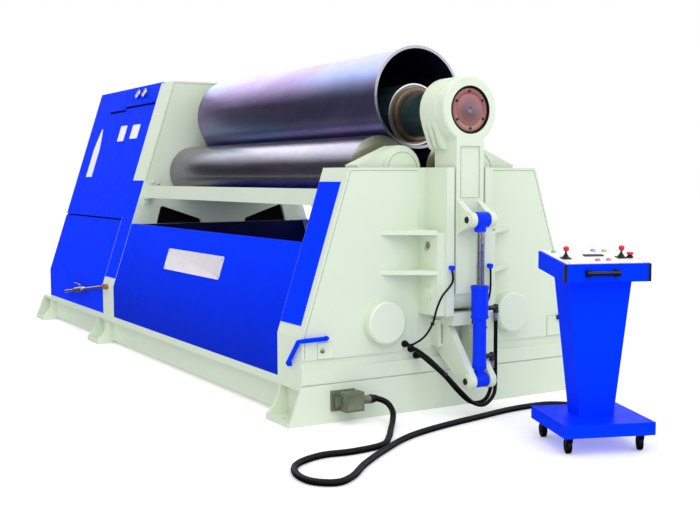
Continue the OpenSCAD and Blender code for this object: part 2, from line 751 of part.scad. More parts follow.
module yoke() color(paint) {
    difference() {
        union() {
            translate([0, 0, top_roll_z]) {
                roll_bar(drum_x, ring_x, drum_r);
                roll_bar(ring_x, yoke_x - 10, ring_r);
                translate([yoke_x - 10, 0, 0]) rotate([0, 90, 0])
                    cylinder(h = 10, r1 = ring_r, r2 = ring_r - 8);
            }
            for (i = [0 : 2]) across(drum_x + 5 + i * 58, drum_x + 43 + i * 58) yoke_web();
            translate([drum_x + 20, -shank_half, hinge_z])
                cube([yoke_x - drum_x - 20, 2 * shank_half, top_roll_z - hinge_z]);
            translate([hinge_x, 0, hinge_z]) cross_bar(-shank_half, shank_half, boss_r);
            for (s = [-1, 1]) deep(s > 0 ? lug_in : -lug_in - lug_t,
                s > 0 ? lug_in + lug_t : -lug_in) {
                translate([cyl_x, cyl_top_z]) circle(50);
                polygon([[yoke_x, cyl_top_z - 90], [yoke_x, cyl_top_z + 120],
                    [cyl_x - 10, cyl_top_z + 49], [cyl_x - 10, cyl_top_z - 49]]);
            }
            for (s = [-1, 1]) translate([cyl_x, 0, cyl_top_z])
                cross_bar(s > 0 ? lug_in : -lug_in - lug_t - 8, s > 0 ? lug_in + lug_t + 8
                    : -lug_in, cyl_pin_r);
        }
        translate([0, 0, top_roll_z]) {
            roll_bar(drum_x - 1, yoke_x - 30, top_journal_r + 8);
            roll_bar(drum_x, yoke_x, top_journal_r - 20);
            roll_bar(yoke_x - 24, yoke_x + 1, cap_r + 11);
        }
        translate([hinge_x, 0, hinge_z]) cross_bar(-cheek_in, cheek_in, hinge_pin_r + slip);
        translate([yoke_x - 8, 37 - shank_half, cyl_top_z + 145])
            cube([10, 2 * shank_half - 74, top_roll_z - 385 - cyl_top_z]);
    }
}

module yoke_cap() color(bronze) {
    translate([0, 0, top_roll_z]) roll_bar(yoke_x - 24, yoke_x + 2, cap_r);
}

barrel_low = cyl_low_z + 78;
head_low = cyl_low_z + 406;
head_top = head_low + 210;
module cylinder_barrel() color(blue) {
    difference() {
        union() {
            translate([cyl_x, 0, cyl_low_z]) cross_bar(-eye_half, eye_half, 46);
            translate([cyl_x, 0, cyl_low_z]) cylinder(h = barrel_low - cyl_low_z, r = 34);
            translate([cyl_x, 0, barrel_low]) cylinder(h = head_low - barrel_low, r = barrel_r);
            translate([cyl_x, 0, head_low]) cylinder(h = head_top - head_low, r = head_r);
            for (tip = [hose_lower[0], hose_upper[0]]) translate([tip.x, 0, tip.z + slip]) {
                translate([0, 0, 18]) cross_bar(0, tip.y, 12);
                translate([0, tip.y, 0]) cylinder(h = 32, r = 14);
            }
        }
        translate([cyl_x, 0, cyl_low_z]) cross_bar(-60, 60, cyl_pin_r + slip);
        translate([cyl_x, 0, barrel_low + 20]) cylinder(h = head_top, r = rod_r + slip);
    }
}

clevis_low = cyl_top_z - 78;
module cylinder_rod() color("silver") {
    translate([cyl_x, 0, head_low + 50]) cylinder(h = clevis_low - head_low - 50, r = rod_r);
}

module rod_clevis() color(blue) {
    translate([cyl_x, 0, clevis_low]) cylinder(h = cyl_top_z - clevis_low, r = 38);
    translate([cyl_x, 0, cyl_top_z]) cross_bar(-eye_half, eye_half, 50);
}

// One swing arm drawn in depth and height
module arm_outline() {
    difference() {
        union() {
            translate([pivot_y, pivot_z]) circle(140);
            translate([low_roll_y, low_roll_z]) circle(arm_head_r);
            polygon([[pivot_y - 138, pivot_z + 20], [low_roll_y - 158, low_roll_z - 20],
                [low_roll_y + 60, low_roll_z + 148], [645, drop_top + 18], [645, drop_top + 6],
                [low_roll_y + 175, low_roll_z - 30], [low_roll_y + 165, low_roll_z - 130],
                [pivot_y + 138, pivot_z + 20]]);
        }
        translate([low_roll_y, low_roll_z]) circle(low_journal_r + slip);
    }
}

module swing_arms(s) mirror([0, s < 0 ? 1 : 0, 0]) {
    across(arm_x_drop, arm_x_drop + arm_t) arm_outline();
    across(arm_x_drive, arm_x_drive + arm_t) arm_outline();
    translate([0, pivot_y, pivot_z]) roll_bar(x_back + 5, x_end - 5, pivot_tube_r);
    translate([0, low_roll_y, low_roll_z])
        roll_bar(arm_x_drop + arm_t, arm_x_drop + arm_t + bearing_cap_t, low_journal_r + 38);
}

module front_swing_arms() color(paint) swing_arms(-1);
module rear_swing_arms() color(paint) swing_arms(1);

module lower_roll(s) {
    translate([0, s * low_roll_y, low_roll_z]) {
        roll_bar(x_drive + roll_clear, x_drop - roll_clear, low_roll_r);
        roll_bar(arm_x_drive + 5, x_drive + roll_clear, low_journal_r);
        roll_bar(x_drop - roll_clear, arm_x_drop + arm_t - 5, low_journal_r);
    }
}

module front_roll() color(steel) lower_roll(-1);
module rear_roll() color(steel) lower_roll(1);

base_rails();
base_cross_beams();
base_feet();
cover_sills();
drop_end_sill();
drop_end_outer_plate();
drop_end_inner_plate();
drop_end_walls();
drop_end_top();
post();
post_ribs();
pivot_covers();
drive_end_inner_plate();
drive_end_outer_plate();
drive_end_walls();
drive_end_top();
blue_corner_panels();
front_cover();
rear_cover();
plate_rails();
inner_end_panel();
cabinet_body();
cabinet_upper_door();
cabinet_lower_door();
pressure_gauges();
drain_valve();
drain_fittings();
corner_bar();
power_connector();
control_cable();
cylinder_bracket();
yoke_hinge_pin();
cylinder_hose_upper();
cylinder_hose_lower();
lock_hose_front();
lock_hose_rear();
hose_fittings();
rolled_shell();
console_base();
console_pedestal();
console_desk();
console_panel();
console_controls();
console_buttons();
console_handle();
console_casters();
top_roll();
yoke();
yoke_cap();
cylinder_barrel();
cylinder_rod();
rod_clevis();
front_swing_arms();
rear_swing_arms();
front_roll();
rear_roll();
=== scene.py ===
import bpy
import bmesh
import math
from mathutils import Matrix, Vector


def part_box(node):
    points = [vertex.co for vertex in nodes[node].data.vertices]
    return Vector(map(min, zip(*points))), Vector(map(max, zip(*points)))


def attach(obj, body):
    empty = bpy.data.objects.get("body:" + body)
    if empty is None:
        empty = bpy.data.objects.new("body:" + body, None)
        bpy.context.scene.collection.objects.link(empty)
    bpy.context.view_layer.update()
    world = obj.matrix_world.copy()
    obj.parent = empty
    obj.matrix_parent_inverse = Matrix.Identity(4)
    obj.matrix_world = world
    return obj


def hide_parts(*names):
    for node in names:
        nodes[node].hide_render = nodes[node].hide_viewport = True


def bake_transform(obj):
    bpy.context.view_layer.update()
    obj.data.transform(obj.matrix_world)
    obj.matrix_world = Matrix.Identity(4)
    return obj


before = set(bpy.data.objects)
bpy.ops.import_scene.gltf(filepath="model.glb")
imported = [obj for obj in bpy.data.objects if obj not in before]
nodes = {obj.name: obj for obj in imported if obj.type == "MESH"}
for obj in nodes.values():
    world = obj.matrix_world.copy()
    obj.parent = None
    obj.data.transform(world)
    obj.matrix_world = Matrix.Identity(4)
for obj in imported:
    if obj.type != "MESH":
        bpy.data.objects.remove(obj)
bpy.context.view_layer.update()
scene = bpy.context.scene
print("frame loaded:", len(nodes), "solids")

view = {
    "place": (8.795, -4.165, 1.565),
    "heading": 2.6049,     # radians from +X
    "pitch": -0.0819,
    "roll": -0.0028,
    "lens": 54.08,
}

def makeCamera(view):
    data = bpy.data.cameras.new("camera")
    data.lens = view["lens"]
    data.sensor_width = 36
    data.clip_end = 200
    camera = bpy.data.objects.new("camera", data)
    scene.collection.objects.link(camera)
    forward = Vector((
        math.cos(view["pitch"]) * math.cos(view["heading"]),
        math.cos(view["pitch"]) * math.sin(view["heading"]),
        math.sin(view["pitch"])))
    turn = forward.to_track_quat("-Z", "Y").to_matrix() @ Matrix.Rotation(view["roll"], 3, "Z")
    camera.matrix_world = Matrix.Translation(view["place"]) @ turn.to_4x4()
    scene.camera = camera

makeCamera(view)
scene.view_settings.view_transform = "Standard"


# the two side frames share one outline: upright to the fold, then inward by the rate for each unit up
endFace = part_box("drop_end_outer_plate")[1].x
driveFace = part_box("drive_end_inner_plate")[1].x
cabinetLeft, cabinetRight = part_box("cabinet_body")[0].x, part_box("cabinet_body")[1].x
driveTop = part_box("drive_end_outer_plate")[1].z
outline = {"half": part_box("drop_end_sill")[1].y, "fold": 0.557, "rate": 0.326}
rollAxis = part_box("top_roll")[0].lerp(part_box("top_roll")[1], 0.5).z
capLow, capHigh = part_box("yoke_cap")
yokeFace = capHigh.x - 0.002

def halfDepth(z):
    # half the depth of the side frames at a height
    return outline["half"] - outline["rate"] * max(0, z - outline["fold"])


def clearSelection():
    if bpy.context.object and bpy.context.object.mode != "OBJECT":
        bpy.ops.object.mode_set(mode="OBJECT")
    bpy.ops.object.select_all(action="DESELECT")


def takeUp(piece):
    clearSelection()
    piece.select_set(True)
    bpy.context.view_layer.objects.active = piece


def linear(red, green, blue):
    # a colour as it looks on screen, 0 to 255, in scene values
    def one(value):
        value = value / 255
        return value / 12.92 if value <= 0.04045 else ((value + 0.055) / 1.055) ** 2.4
    return (one(red), one(green), one(blue), 1)


def newMaterial(name):
    material = bpy.data.materials.new(name)
    material.use_nodes = True
    tree = material.node_tree
    return material, tree, tree.nodes["Principled BSDF"]


def addNode(tree, kind, **settings):
    node = tree.nodes.new(kind)
    for key, value in settings.items():
        if key in node.inputs:
            node.inputs[key].default_value = value
        else:
            setattr(node, key, value)
    return node


def placed(tree, scale=(1, 1, 1), turn=(0, 0, 0), centre=(0, 0, 0)):
    # object coordinates, moved to a centre, turned and stretched
    coords = addNode(tree, "ShaderNodeTexCoord")
    mapping = addNode(tree, "ShaderNodeMapping")
    mapping.inputs["Location"].default_value = [-c * s for c, s in zip(centre, scale)]
    mapping.inputs["Rotation"].default_value = turn
    mapping.inputs["Scale"].default_value = scale
    tree.links.new(coords.outputs["Object"], mapping.inputs["Vector"])
    return mapping.outputs["Vector"]


def noise(tree, vector, scale, detail=4, roughness=0.55, distortion=0):
    node = addNode(tree, "ShaderNodeTexNoise", Scale=scale, Detail=detail, Roughness=roughness,
                   Distortion=distortion)
    tree.links.new(vector, node.inputs["Vector"])
    return node.outputs["Fac"]


def ramp(tree, value, stops):
    node = addNode(tree, "ShaderNodeValToRGB")
    elements = node.color_ramp.elements
    while len(elements) < len(stops):
        elements.new(0.5)
    for element, (position, colour) in zip(elements, stops):
        element.position = position
        element.color = colour if hasattr(colour, "__len__") else (colour, colour, colour, 1)
    tree.links.new(value, node.inputs["Fac"])
    return node.outputs["Color"]


def mapRange(tree, value, low, high, toLow, toHigh):
    node = addNode(tree, "ShaderNodeMapRange")
    for key, number in (("From Min", low), ("From Max", high), ("To Min", toLow), ("To Max", toHigh)):
        node.inputs[key].default_value = number
    tree.links.new(value, node.inputs["Value"])
    return node.outputs["Result"]


def mix(tree, factor, first, second, blend="MIX"):
    node = addNode(tree, "ShaderNodeMix", data_type="RGBA", blend_type=blend)
    for socket, value in ((node.inputs[0], factor), (node.inputs[6], first), (node.inputs[7], second)):
        if isinstance(value, bpy.types.NodeSocket):
            tree.links.new(value, socket)
        else:
            socket.default_value = value
    return node.outputs[2]


def calculate(tree, operation, first, second):
    node = addNode(tree, "ShaderNodeMath", operation=operation)
    for socket, value in zip(node.inputs, (first, second)):
        if isinstance(value, bpy.types.NodeSocket):
            tree.links.new(value, socket)
        else:
            socket.default_value = value
    return node.outputs["Value"]


def bump(tree, shader, height, strength, distance, below=None):
    node = addNode(tree, "ShaderNodeBump", Strength=strength, Distance=distance)
    tree.links.new(height, node.inputs["Height"])
    if below is not None:
        tree.links.new(below, node.inputs["Normal"])
    tree.links.new(node.outputs["Normal"], shader.inputs["Normal"])
    return node.outputs["Normal"]


def shade(colour, factor):
    return tuple(c * factor for c in colour[:3]) + (1,)


def setSurface(tree, shader, colour, rough, metal=0, shine=0.5):
    tree.links.new(colour, shader.inputs["Base Color"])
    tree.links.new(rough, shader.inputs["Roughness"])
    shader.inputs["Metallic"].default_value = metal
    shader.inputs["Specular IOR Level"].default_value = shine


def makeEnamel(name, colour, look):
    # sprayed enamel over plate: soft cloudiness, orange peel, a little dust low down, fine scuffs; a look
    # with a foot also gets painted shade, darker toward the foot
    material, tree, shader = newMaterial(name)
    place = placed(tree)
    clouds = noise(tree, place, look["cloudScale"], 5, 0.6)
    paint = ramp(tree, clouds, [(0.3, shade(colour, 1 - look["clouds"])),
                                (0.7, shade(colour, 1 + look["clouds"] * 0.6))])
    coords = addNode(tree, "ShaderNodeSeparateXYZ")
    tree.links.new(place, coords.inputs["Vector"])
    low = mapRange(tree, coords.outputs["Z"], 0.02, look["dustTop"], 1, 0)
    patches = ramp(tree, noise(tree, place, 5.5, 6, 0.7), [(0.42, 0), (0.72, 1)])
    dust = calculate(tree, "MULTIPLY", calculate(tree, "MULTIPLY", low, patches), look["dust"])
    paint = mix(tree, dust, paint, look["dustColour"])
    if "foot" in look:
        foot, clear, share = look["foot"]   # painted shade: this share of the colour at the foot, all of it from clear up
        paintedShadeToFoot = mapRange(tree, coords.outputs["Z"], foot, clear, share, 1)
        paint = mix(tree, 1.0, paint, paintedShadeToFoot, "MULTIPLY")
    scuffPlace = placed(tree, (1, 1, 0.16))
    scuffs = ramp(tree, noise(tree, scuffPlace, 55, 6, 0.8, 0.3), [(0.66, 0), (0.74, 1)])
    scuffs = calculate(tree, "MULTIPLY", scuffs, look["scuffs"])
    paint = mix(tree, scuffs, paint, look["scuffColour"])
    rough = mapRange(tree, noise(tree, place, 14, 4), 0.3, 0.7, look["gloss"] - 0.05, look["gloss"] + 0.07)
    setSurface(tree, shader, paint, rough, 0, look["shine"])
    sheet = bump(tree, shader, noise(tree, place, 2.2, 2), 0.25, 0.003)   # plate is never quite flat
    bump(tree, shader, noise(tree, place, 190, 2), 0.10, 0.0005, sheet)   # orange peel
    return material


def makeRolledSteel(name, look):
    # turned or ground along X: rings round the axis, streaks along it, heat tints and bright ends
    material, tree, shader = newMaterial(name)
    rings = noise(tree, placed(tree, (1, 0.03, 0.03)), look["ringScale"], 8, 0.75)
    streaks = noise(tree, placed(tree, (0.05, 1, 1)), look["streakScale"], 5, 0.6)
    stains = noise(tree, placed(tree, (0.35, 1, 1)), look["stainScale"], 6, 0.65, 0.8)
    metal = ramp(tree, rings, [(0.3, shade(look["colour"], 1 - look["rings"])),
                               (0.7, shade(look["colour"], 1 + look["rings"]))])
    along = ramp(tree, streaks, [(0.35, 1 - look["streaks"]), (0.68, 1)])
    metal = mix(tree, 1.0, metal, along, "MULTIPLY")
    tint = ramp(tree, stains, [(0.38, 0), (0.66, 1)])
    metal = mix(tree, calculate(tree, "MULTIPLY", tint, look["stains"]), metal, look["stainColour"])
    cool = ramp(tree, noise(tree, placed(tree, (0.3, 1, 1), centre=(3, 0, 0)), 2.1, 4), [(0.45, 0), (0.7, 1)])
    metal = mix(tree, calculate(tree, "MULTIPLY", cool, look["stains"]), metal, look["coolColour"])
    coords = addNode(tree, "ShaderNodeTexCoord")
    ends = addNode(tree, "ShaderNodeSeparateXYZ")
    tree.links.new(coords.outputs["Normal"], ends.inputs["Vector"])
    faced = ramp(tree, calculate(tree, "ABSOLUTE", ends.outputs["X"], 0), [(0.7, 0), (0.85, 1)])
    metal = mix(tree, faced, metal, look["endColour"])
    rough = mapRange(tree, streaks, 0.25, 0.75, look["rough"] - 0.04, look["rough"] + 0.06)
    setSurface(tree, shader, metal, rough, look["metal"])
    first = bump(tree, shader, rings, look["ringBump"], 0.0008)
    bump(tree, shader, noise(tree, placed(tree), 160, 4), 0.08, 0.0004, first)
    return material


def makeMetal(name, look):
    # cast or turned metal with grain, tarnish and faint scratches
    material, tree, shader = newMaterial(name)
    place = placed(tree)
    grain = noise(tree, place, look["grainScale"], 6, 0.65)
    metal = ramp(tree, grain, [(0.3, shade(look["colour"], 0.82)), (0.7, shade(look["colour"], 1.1))])
    tarnish = ramp(tree, noise(tree, place, 9, 6, 0.7), [(0.45, 0), (0.8, 1)])
    metal = mix(tree, calculate(tree, "MULTIPLY", tarnish, look["tarnish"]), metal, look["tarnishColour"])
    rough = mapRange(tree, grain, 0.3, 0.7, look["rough"] - 0.06, look["rough"] + 0.08)
    setSurface(tree, shader, metal, rough, look["metal"])
    bump(tree, shader, grain, look["bump"], 0.0008)
    return material


def makePlastic(name, look):
    # moulded plastic or rubber: fine spark grain and slightly uneven gloss
    material, tree, shader = newMaterial(name)
    place = placed(tree)
    cloud = noise(tree, place, 12, 4)
    uneven = look.get("uneven", 0.12)
    skin = ramp(tree, cloud, [(0.3, shade(look["colour"], 1 - uneven)),
                              (0.7, shade(look["colour"], 1 + uneven / 2))])
    rough = mapRange(tree, cloud, 0.3, 0.7, look["rough"] - 0.05, look["rough"] + 0.07)
    setSurface(tree, shader, skin, rough, 0, look.get("shine", 0.4))
    bump(tree, shader, noise(tree, place, look["grainScale"], 3), look["bump"], 0.0005)
    return material


def makeTurnedCap(name, look):
    # faced on a lathe: mauve at the centre, rose further out, tan toward the bottom, fine rings
    material, tree, shader = newMaterial(name)
    length = addNode(tree, "ShaderNodeVectorMath", operation="LENGTH")
    tree.links.new(placed(tree, (0, 1, 1), centre=(0, 0, rollAxis)), length.inputs[0])
    radius = calculate(tree, "MULTIPLY", length.outputs["Value"], 1 / look["radius"])
    metal = ramp(tree, radius, look["stops"])
    coords = addNode(tree, "ShaderNodeSeparateXYZ")
    tree.links.new(placed(tree), coords.inputs["Vector"])
    low = mapRange(tree, coords.outputs["Z"], rollAxis - look["radius"], rollAxis, 0.75, 0)
    metal = mix(tree, low, metal, look["lowColour"])
    rings = noise(tree, radius, look["ringScale"], 6, 0.7)
    metal = mix(tree, 1.0, metal, ramp(tree, rings, [(0.3, 0.8), (0.7, 1.0)]), "MULTIPLY")
    tree.links.new(metal, shader.inputs["Base Color"])
    shader.inputs["Metallic"].default_value = 0.25
    shader.inputs["Roughness"].default_value = 0.42
    bump(tree, shader, rings, 0.3, 0.0006)
    return material


paintLook = {
    "cloudScale": 0.9, "clouds": 0.03, "dustTop": 0.3, "dust": 0.10,
    "dustColour": linear(190, 198, 180), "scuffs": 0.05, "scuffColour": linear(176, 186, 168),
    "gloss": 0.42, "shine": 0.35,
}
blueLook = {
    "cloudScale": 0.8, "clouds": 0.05, "dustTop": 0.5, "dust": 0.05,
    "dustColour": linear(60, 90, 200), "scuffs": 0.02, "scuffColour": linear(40, 80, 235),
    "gloss": 0.46, "shine": 0.015,
}
# the covers' blue is painted darker toward the foot: painted shade
coverLookPaintedShade = dict(blueLook, foot=(0.28, 1.10, 0.54))
glossLook = dict(blueLook, gloss=0.36, shine=0.10, clouds=0.03)
rollLook = {
    "colour": linear(158, 152, 168), "rings": 0.16, "ringScale": 90, "streaks": 0.16, "streakScale": 20,
    "stains": 0.5, "stainScale": 2.2, "stainColour": linear(96, 74, 106),
    "coolColour": linear(112, 136, 156), "endColour": linear(196, 190, 180),
    "metal": 1.0, "rough": 0.24, "ringBump": 0.12,
}
shellLook = {
    "colour": linear(156, 146, 194), "rings": 0.14, "ringScale": 46, "streaks": 0.2, "streakScale": 16,
    "stains": 0.7, "stainScale": 1.5, "stainColour": linear(112, 76, 136),
    "coolColour": linear(104, 146, 196), "endColour": linear(150, 150, 158),
    "metal": 1.0, "rough": 0.34, "ringBump": 0.15,
}
neckLook = {
    "colour": linear(66, 92, 92), "rings": 0.2, "ringScale": 60, "streaks": 0.3, "streakScale": 30,
    "stains": 0.6, "stainScale": 4, "stainColour": linear(24, 44, 62),
    "coolColour": linear(40, 74, 86), "endColour": linear(120, 118, 110),
    "metal": 0.6, "rough": 0.3, "ringBump": 0.2,
}
brightLook = {"colour": linear(190, 190, 192), "grainScale": 60, "tarnish": 0.25,
              "tarnishColour": linear(140, 136, 128), "metal": 1.0, "rough": 0.3, "bump": 0.15}
chromeLook = {"colour": linear(222, 224, 222), "grainScale": 90, "tarnish": 0.06,
              "tarnishColour": linear(170, 170, 168), "metal": 1.0, "rough": 0.15, "bump": 0.02}
bronzeLook = {"colour": linear(108, 92, 74), "grainScale": 45, "tarnish": 0.5,
              "tarnishColour": linear(58, 52, 48), "metal": 0.8, "rough": 0.34, "bump": 0.2}
copperLook = {"colour": linear(176, 104, 84), "grainScale": 45, "tarnish": 0.4,
              "tarnishColour": linear(120, 70, 60), "metal": 0.7, "rough": 0.36, "bump": 0.2}
castLook = {"colour": linear(112, 120, 98), "grainScale": 120, "tarnish": 0.3,
            "tarnishColour": linear(72, 76, 64), "metal": 0.25, "rough": 0.48, "bump": 0.5}
darkLook = {"colour": linear(44, 46, 52), "grainScale": 80, "tarnish": 0.3,
            "tarnishColour": linear(28, 28, 32), "metal": 0.4, "rough": 0.45, "bump": 0.3}
zincLook = {"colour": linear(168, 170, 164), "grainScale": 70, "tarnish": 0.3,
            "tarnishColour": linear(120, 120, 108), "metal": 0.9, "rough": 0.38, "bump": 0.15}
rubberLook = {"colour": linear(7, 7, 9), "rough": 0.5, "grainScale": 260, "bump": 0.2, "shine": 0.12}
blackLook = {"colour": linear(18, 18, 20), "rough": 0.42, "grainScale": 320, "bump": 0.15, "shine": 0.3}
shadowLook = {"colour": linear(8, 9, 14), "rough": 0.85, "grainScale": 120, "bump": 0.2, "shine": 0.05}
# dark navy for the blue inner panel, standing for the shade it lies in: painted shade
navyPaintedShadeLook = {"colour": linear(6, 10, 62), "rough": 0.6, "grainScale": 150, "bump": 0.15, "shine": 0.08}
whiteLook = {"colour": linear(240, 240, 243), "rough": 0.45, "grainScale": 300, "bump": 0.04, "uneven": 0.03}
plateLook = {"colour": linear(222, 219, 226), "rough": 0.4, "grainScale": 200, "bump": 0.05, "uneven": 0.05}
buttonLook = {"rough": 0.34, "grainScale": 300, "bump": 0.05}
seamLook = {"colour": linear(150, 168, 146), "rough": 0.55, "grainScale": 90, "bump": 0.3}
capLook = {
    "radius": capHigh.y, "ringScale": 30, "lowColour": linear(164, 132, 108),
    "stops": [(0.0, linear(150, 128, 142)), (0.14, linear(104, 84, 98)), (0.36, linear(120, 84, 94)),
              (0.62, linear(150, 94, 98)), (0.94, linear(142, 84, 88)), (1.0, linear(80, 50, 50))],
}

enamelPaint = makeEnamel("paleGreenEnamel", linear(214, 226, 206), paintLook)
enamelBlue = makeEnamel("blueEnamel", linear(0, 52, 255), blueLook)
enamelCover = makeEnamel("coverEnamel", linear(0, 52, 255), coverLookPaintedShade)
enamelGloss = makeEnamel("glossEnamel", linear(0, 50, 240), glossLook)
steelRoll = makeRolledSteel("groundRollSteel", rollLook)
steelPlate = makeRolledSteel("rolledPlateSteel", shellLook)
steelNeck = makeRolledSteel("oiledNeckSteel", neckLook)
steelBright = makeMetal("turnedSteel", brightLook)
steelChrome = makeMetal("hardChrome", chromeLook)
bronze = makeMetal("bearingBronze", bronzeLook)
copper = makeMetal("copperFitting", copperLook)
castGrey = makeMetal("oliveGreyCasting", castLook)
steelDark = makeMetal("darkSteel", darkLook)
zinc = makeMetal("zincPlatedSteel", zincLook)
rubberBlack = makePlastic("blackRubber", rubberLook)
plasticBlack = makePlastic("blackPlastic", blackLook)
shadowBlack = makePlastic("darkInterior", shadowLook)
navyPaintedShade = makePlastic("navyInnerPaintedShade", navyPaintedShadeLook)
plasticWhite = makePlastic("whiteEnamelPlate", whiteLook)
plateSatin = makePlastic("satinNamePlate", plateLook)
plasticRed = makePlastic("redPlastic", dict(buttonLook, colour=linear(206, 34, 62)))
plasticPink = makePlastic("pinkLens", dict(buttonLook, colour=linear(226, 96, 128)))
plasticGreen = makePlastic("greenLens", dict(buttonLook, colour=linear(96, 196, 120)))
plasticYellow = makePlastic("yellowLens", dict(buttonLook, colour=linear(214, 196, 70)))
seamGreen = makePlastic("jointSealant", seamLook)
capCopper = makeTurnedCap("turnedCopperCap", capLook)
print("materials made")


nodeFinish = {
    enamelBlue: ["blue_corner_panels", "cabinet_body", "cabinet_upper_door", "cabinet_lower_door",
                 "corner_bar", "console_base", "console_pedestal", "console_desk"],
    enamelCover: ["front_cover", "rear_cover"],
    enamelGloss: ["cylinder_barrel", "rod_clevis", "hose_fittings"],
    steelRoll: ["front_roll", "rear_roll"],
    steelNeck: ["top_roll"],
    steelPlate: ["rolled_shell"],
    steelBright: ["drain_valve"],
    steelChrome: ["cylinder_rod"],
    # the inner end panel is coloured dark navy: painted shade
    navyPaintedShade: ["inner_end_panel"],
    copper: ["drain_fittings"],
    castGrey: ["power_connector"],
    plasticWhite: ["console_panel"],
    plasticBlack: ["console_handle"],
}

def giveFinish(piece, material):
    if not piece.data.materials:
        piece.data.materials.append(material)
    for slot in piece.material_slots:
        slot.link = "OBJECT"
        slot.material = material

# pale green all over, then what has another finish
for node in nodes.values():
    giveFinish(node, enamelPaint)
for material, names in nodeFinish.items():
    for name in names:
        giveFinish(nodes[name], material)


cable = {
    "radius": 0.019,
    "route": [(3.148, -0.664, 0.142), (3.149, -0.616, 0.142), (3.212, -0.574, 0.122),
              (3.295, -0.582, 0.082), (3.385, -0.640, 0.045), (3.490, -0.722, 0.025),
              (3.630, -0.826, 0.020), (3.765, -0.960, 0.019), (3.800, -1.180, 0.019),
              (3.780, -1.370, 0.019), (3.860, -1.560, 0.019), (4.010, -1.655, 0.019),
              (4.180, -1.660, 0.019), (4.275, -1.560, 0.019), (4.220, -1.430, 0.019),
              (4.050, -1.250, 0.019), (3.860, -1.000, 0.019), (3.680, -0.715, 0.019),
              (3.570, -0.400, 0.019), (3.490, -0.050, 0.019), (3.420, 0.300, 0.019),
              (3.440, 0.600, 0.020), (3.640, 0.740, 0.022), (3.880, 0.560, 0.050), (4.030, 0.262, 0.225),
              (4.110, 0.214, 0.257), (4.192, 0.183, 0.260)],
}
# the two cylinder hoses list a bend span from their port; only its presence is read, and it makes them meshes
# fixed in place, not bent
hoses = {
    "cylinder_hose_upper": {
        "radius": 0.013, "stiffness": "stiff", "bendSpan": (0, -0.250, 0),
        "route": [(3.410, 0.148, 0.689), (3.410, 0.148, 0.400), (3.412, 0.146, 0.240),
                  (3.430, 0.122, 0.140), (3.440, 0.040, 0.082), (3.438, -0.050, 0.100),
                  (3.425, -0.140, 0.180), (3.370, -0.225, 0.290), (3.260, -0.282, 0.385),
                  (3.142, -0.296, 0.427), (3.102, -0.296, 0.427)]},
    "cylinder_hose_lower": {
        "radius": 0.013, "stiffness": "stiff", "bendSpan": (0, -0.210, 0),
        "route": [(3.410, 0.118, 0.375), (3.410, 0.118, 0.260), (3.405, 0.110, 0.165),
                  (3.400, 0.076, 0.106), (3.398, 0.010, 0.088), (3.394, -0.060, 0.108),
                  (3.375, -0.135, 0.180), (3.320, -0.200, 0.275), (3.220, -0.246, 0.350),
                  (3.142, -0.252, 0.380), (3.102, -0.252, 0.380)]},
    "lock_hose_front": {
        "radius": 0.007, "stiffness": "medium",
        "route": [(3.343, -0.155, 0.954), (3.343, -0.155, 0.880), (3.335, -0.225, 0.800),
                  (3.325, -0.262, 0.720), (3.315, -0.290, 0.620), (3.270, -0.325, 0.530),
                  (3.150, -0.345, 0.462), (3.102, -0.345, 0.462)]},
    "lock_hose_rear": {
        "radius": 0.007, "stiffness": "medium",
        "route": [(3.343, 0.155, 0.954), (3.343, 0.155, 0.820), (3.343, 0.130, 0.740),
                  (3.342, 0.075, 0.690), (3.340, 0.025, 0.650), (3.338, 0.018, 0.610),
                  (3.338, 0.070, 0.582), (3.320, 0.140, 0.566), (3.250, 0.182, 0.548),
                  (3.160, 0.192, 0.538), (3.102, 0.192, 0.538)]},
}

def smoothRoute(points, steps):
    # a smooth line through all the points, with this many steps between neighbours
    points = [Vector(p) for p in points]
    line = []
    for i in range(len(points) - 1):
        before, start = points[max(i - 1, 0)], points[i]
        end, after = points[i + 1], points[min(i + 2, len(points) - 1)]
        for k in range(steps):
            t = k / steps
            line.append(0.5 * ((2 * start) + (end - before) * t
                               + (2 * before - 5 * start + 4 * end - after) * t * t
                               + (3 * start - before - 3 * end + after) * t ** 3))
    return line + [points[-1]]


def makeCurve(name, lines, radius, roundness):
    # round tubes swept along lines of points, closed at both ends
    data = bpy.data.curves.new(name, "CURVE")
    data.dimensions = "3D"
    data.bevel_depth = radius
    data.bevel_resolution = roundness
    data.use_fill_caps = True
    for line in lines:
        spline = data.splines.new("POLY")
        spline.points.add(len(line) - 1)
        for point, place in zip(spline.points, line):
            point.co = (*place, 1)
    piece = bpy.data.objects.new(name, data)
    scene.collection.objects.link(piece)
    return piece


def makeCord(name, route, radius, steps):
    # a rubber cord, with the smooth line it follows and its length
    line = smoothRoute(route, steps)
    cord = makeCurve(name, [line], radius, 3)
    cord.data.materials.append(rubberBlack)
    return cord, line, sum((b - a).length for a, b in zip(line, line[1:]))


controlCord, _, cordLength = makeCord("controlCable", cable["route"], cable["radius"], 6)
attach(controlCord, "machine")
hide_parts("control_cable")
print("control cable", round(cordLength, 3))


def bendHose(piece):
    # turns the hose into a smooth-shaded mesh with its placing baked in; nothing here bends it
    takeUp(piece)
    bpy.ops.object.convert(target="MESH")
    bpy.ops.object.shade_smooth()
    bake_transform(piece)

for name, hose in hoses.items():
    piece, line, hoseLength = makeCord(name.replace("_", "-") + "-line", hose["route"], hose["radius"], 5)
    if "bendSpan" in hose:
        bendHose(piece)
    else:
        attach(piece, "machine")
    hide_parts(name)
    print(name, round(hoseLength, 3))
print("cords laid")


def settle(piece, name):
    # leaves a new piece at the machine's origin, unturned and unscaled
    takeUp(piece)
    bpy.ops.object.transform_apply(location=True, rotation=True, scale=True)
    piece.name = name
    return piece


def addBlock(name, low, high):
    # a box between two corners
    clearSelection()
    bpy.ops.mesh.primitive_cube_add(size=1, location=[(a + b) / 2 for a, b in zip(low, high)])
    piece = bpy.context.object
    piece.scale = [b - a for a, b in zip(low, high)]
    return settle(piece, name)


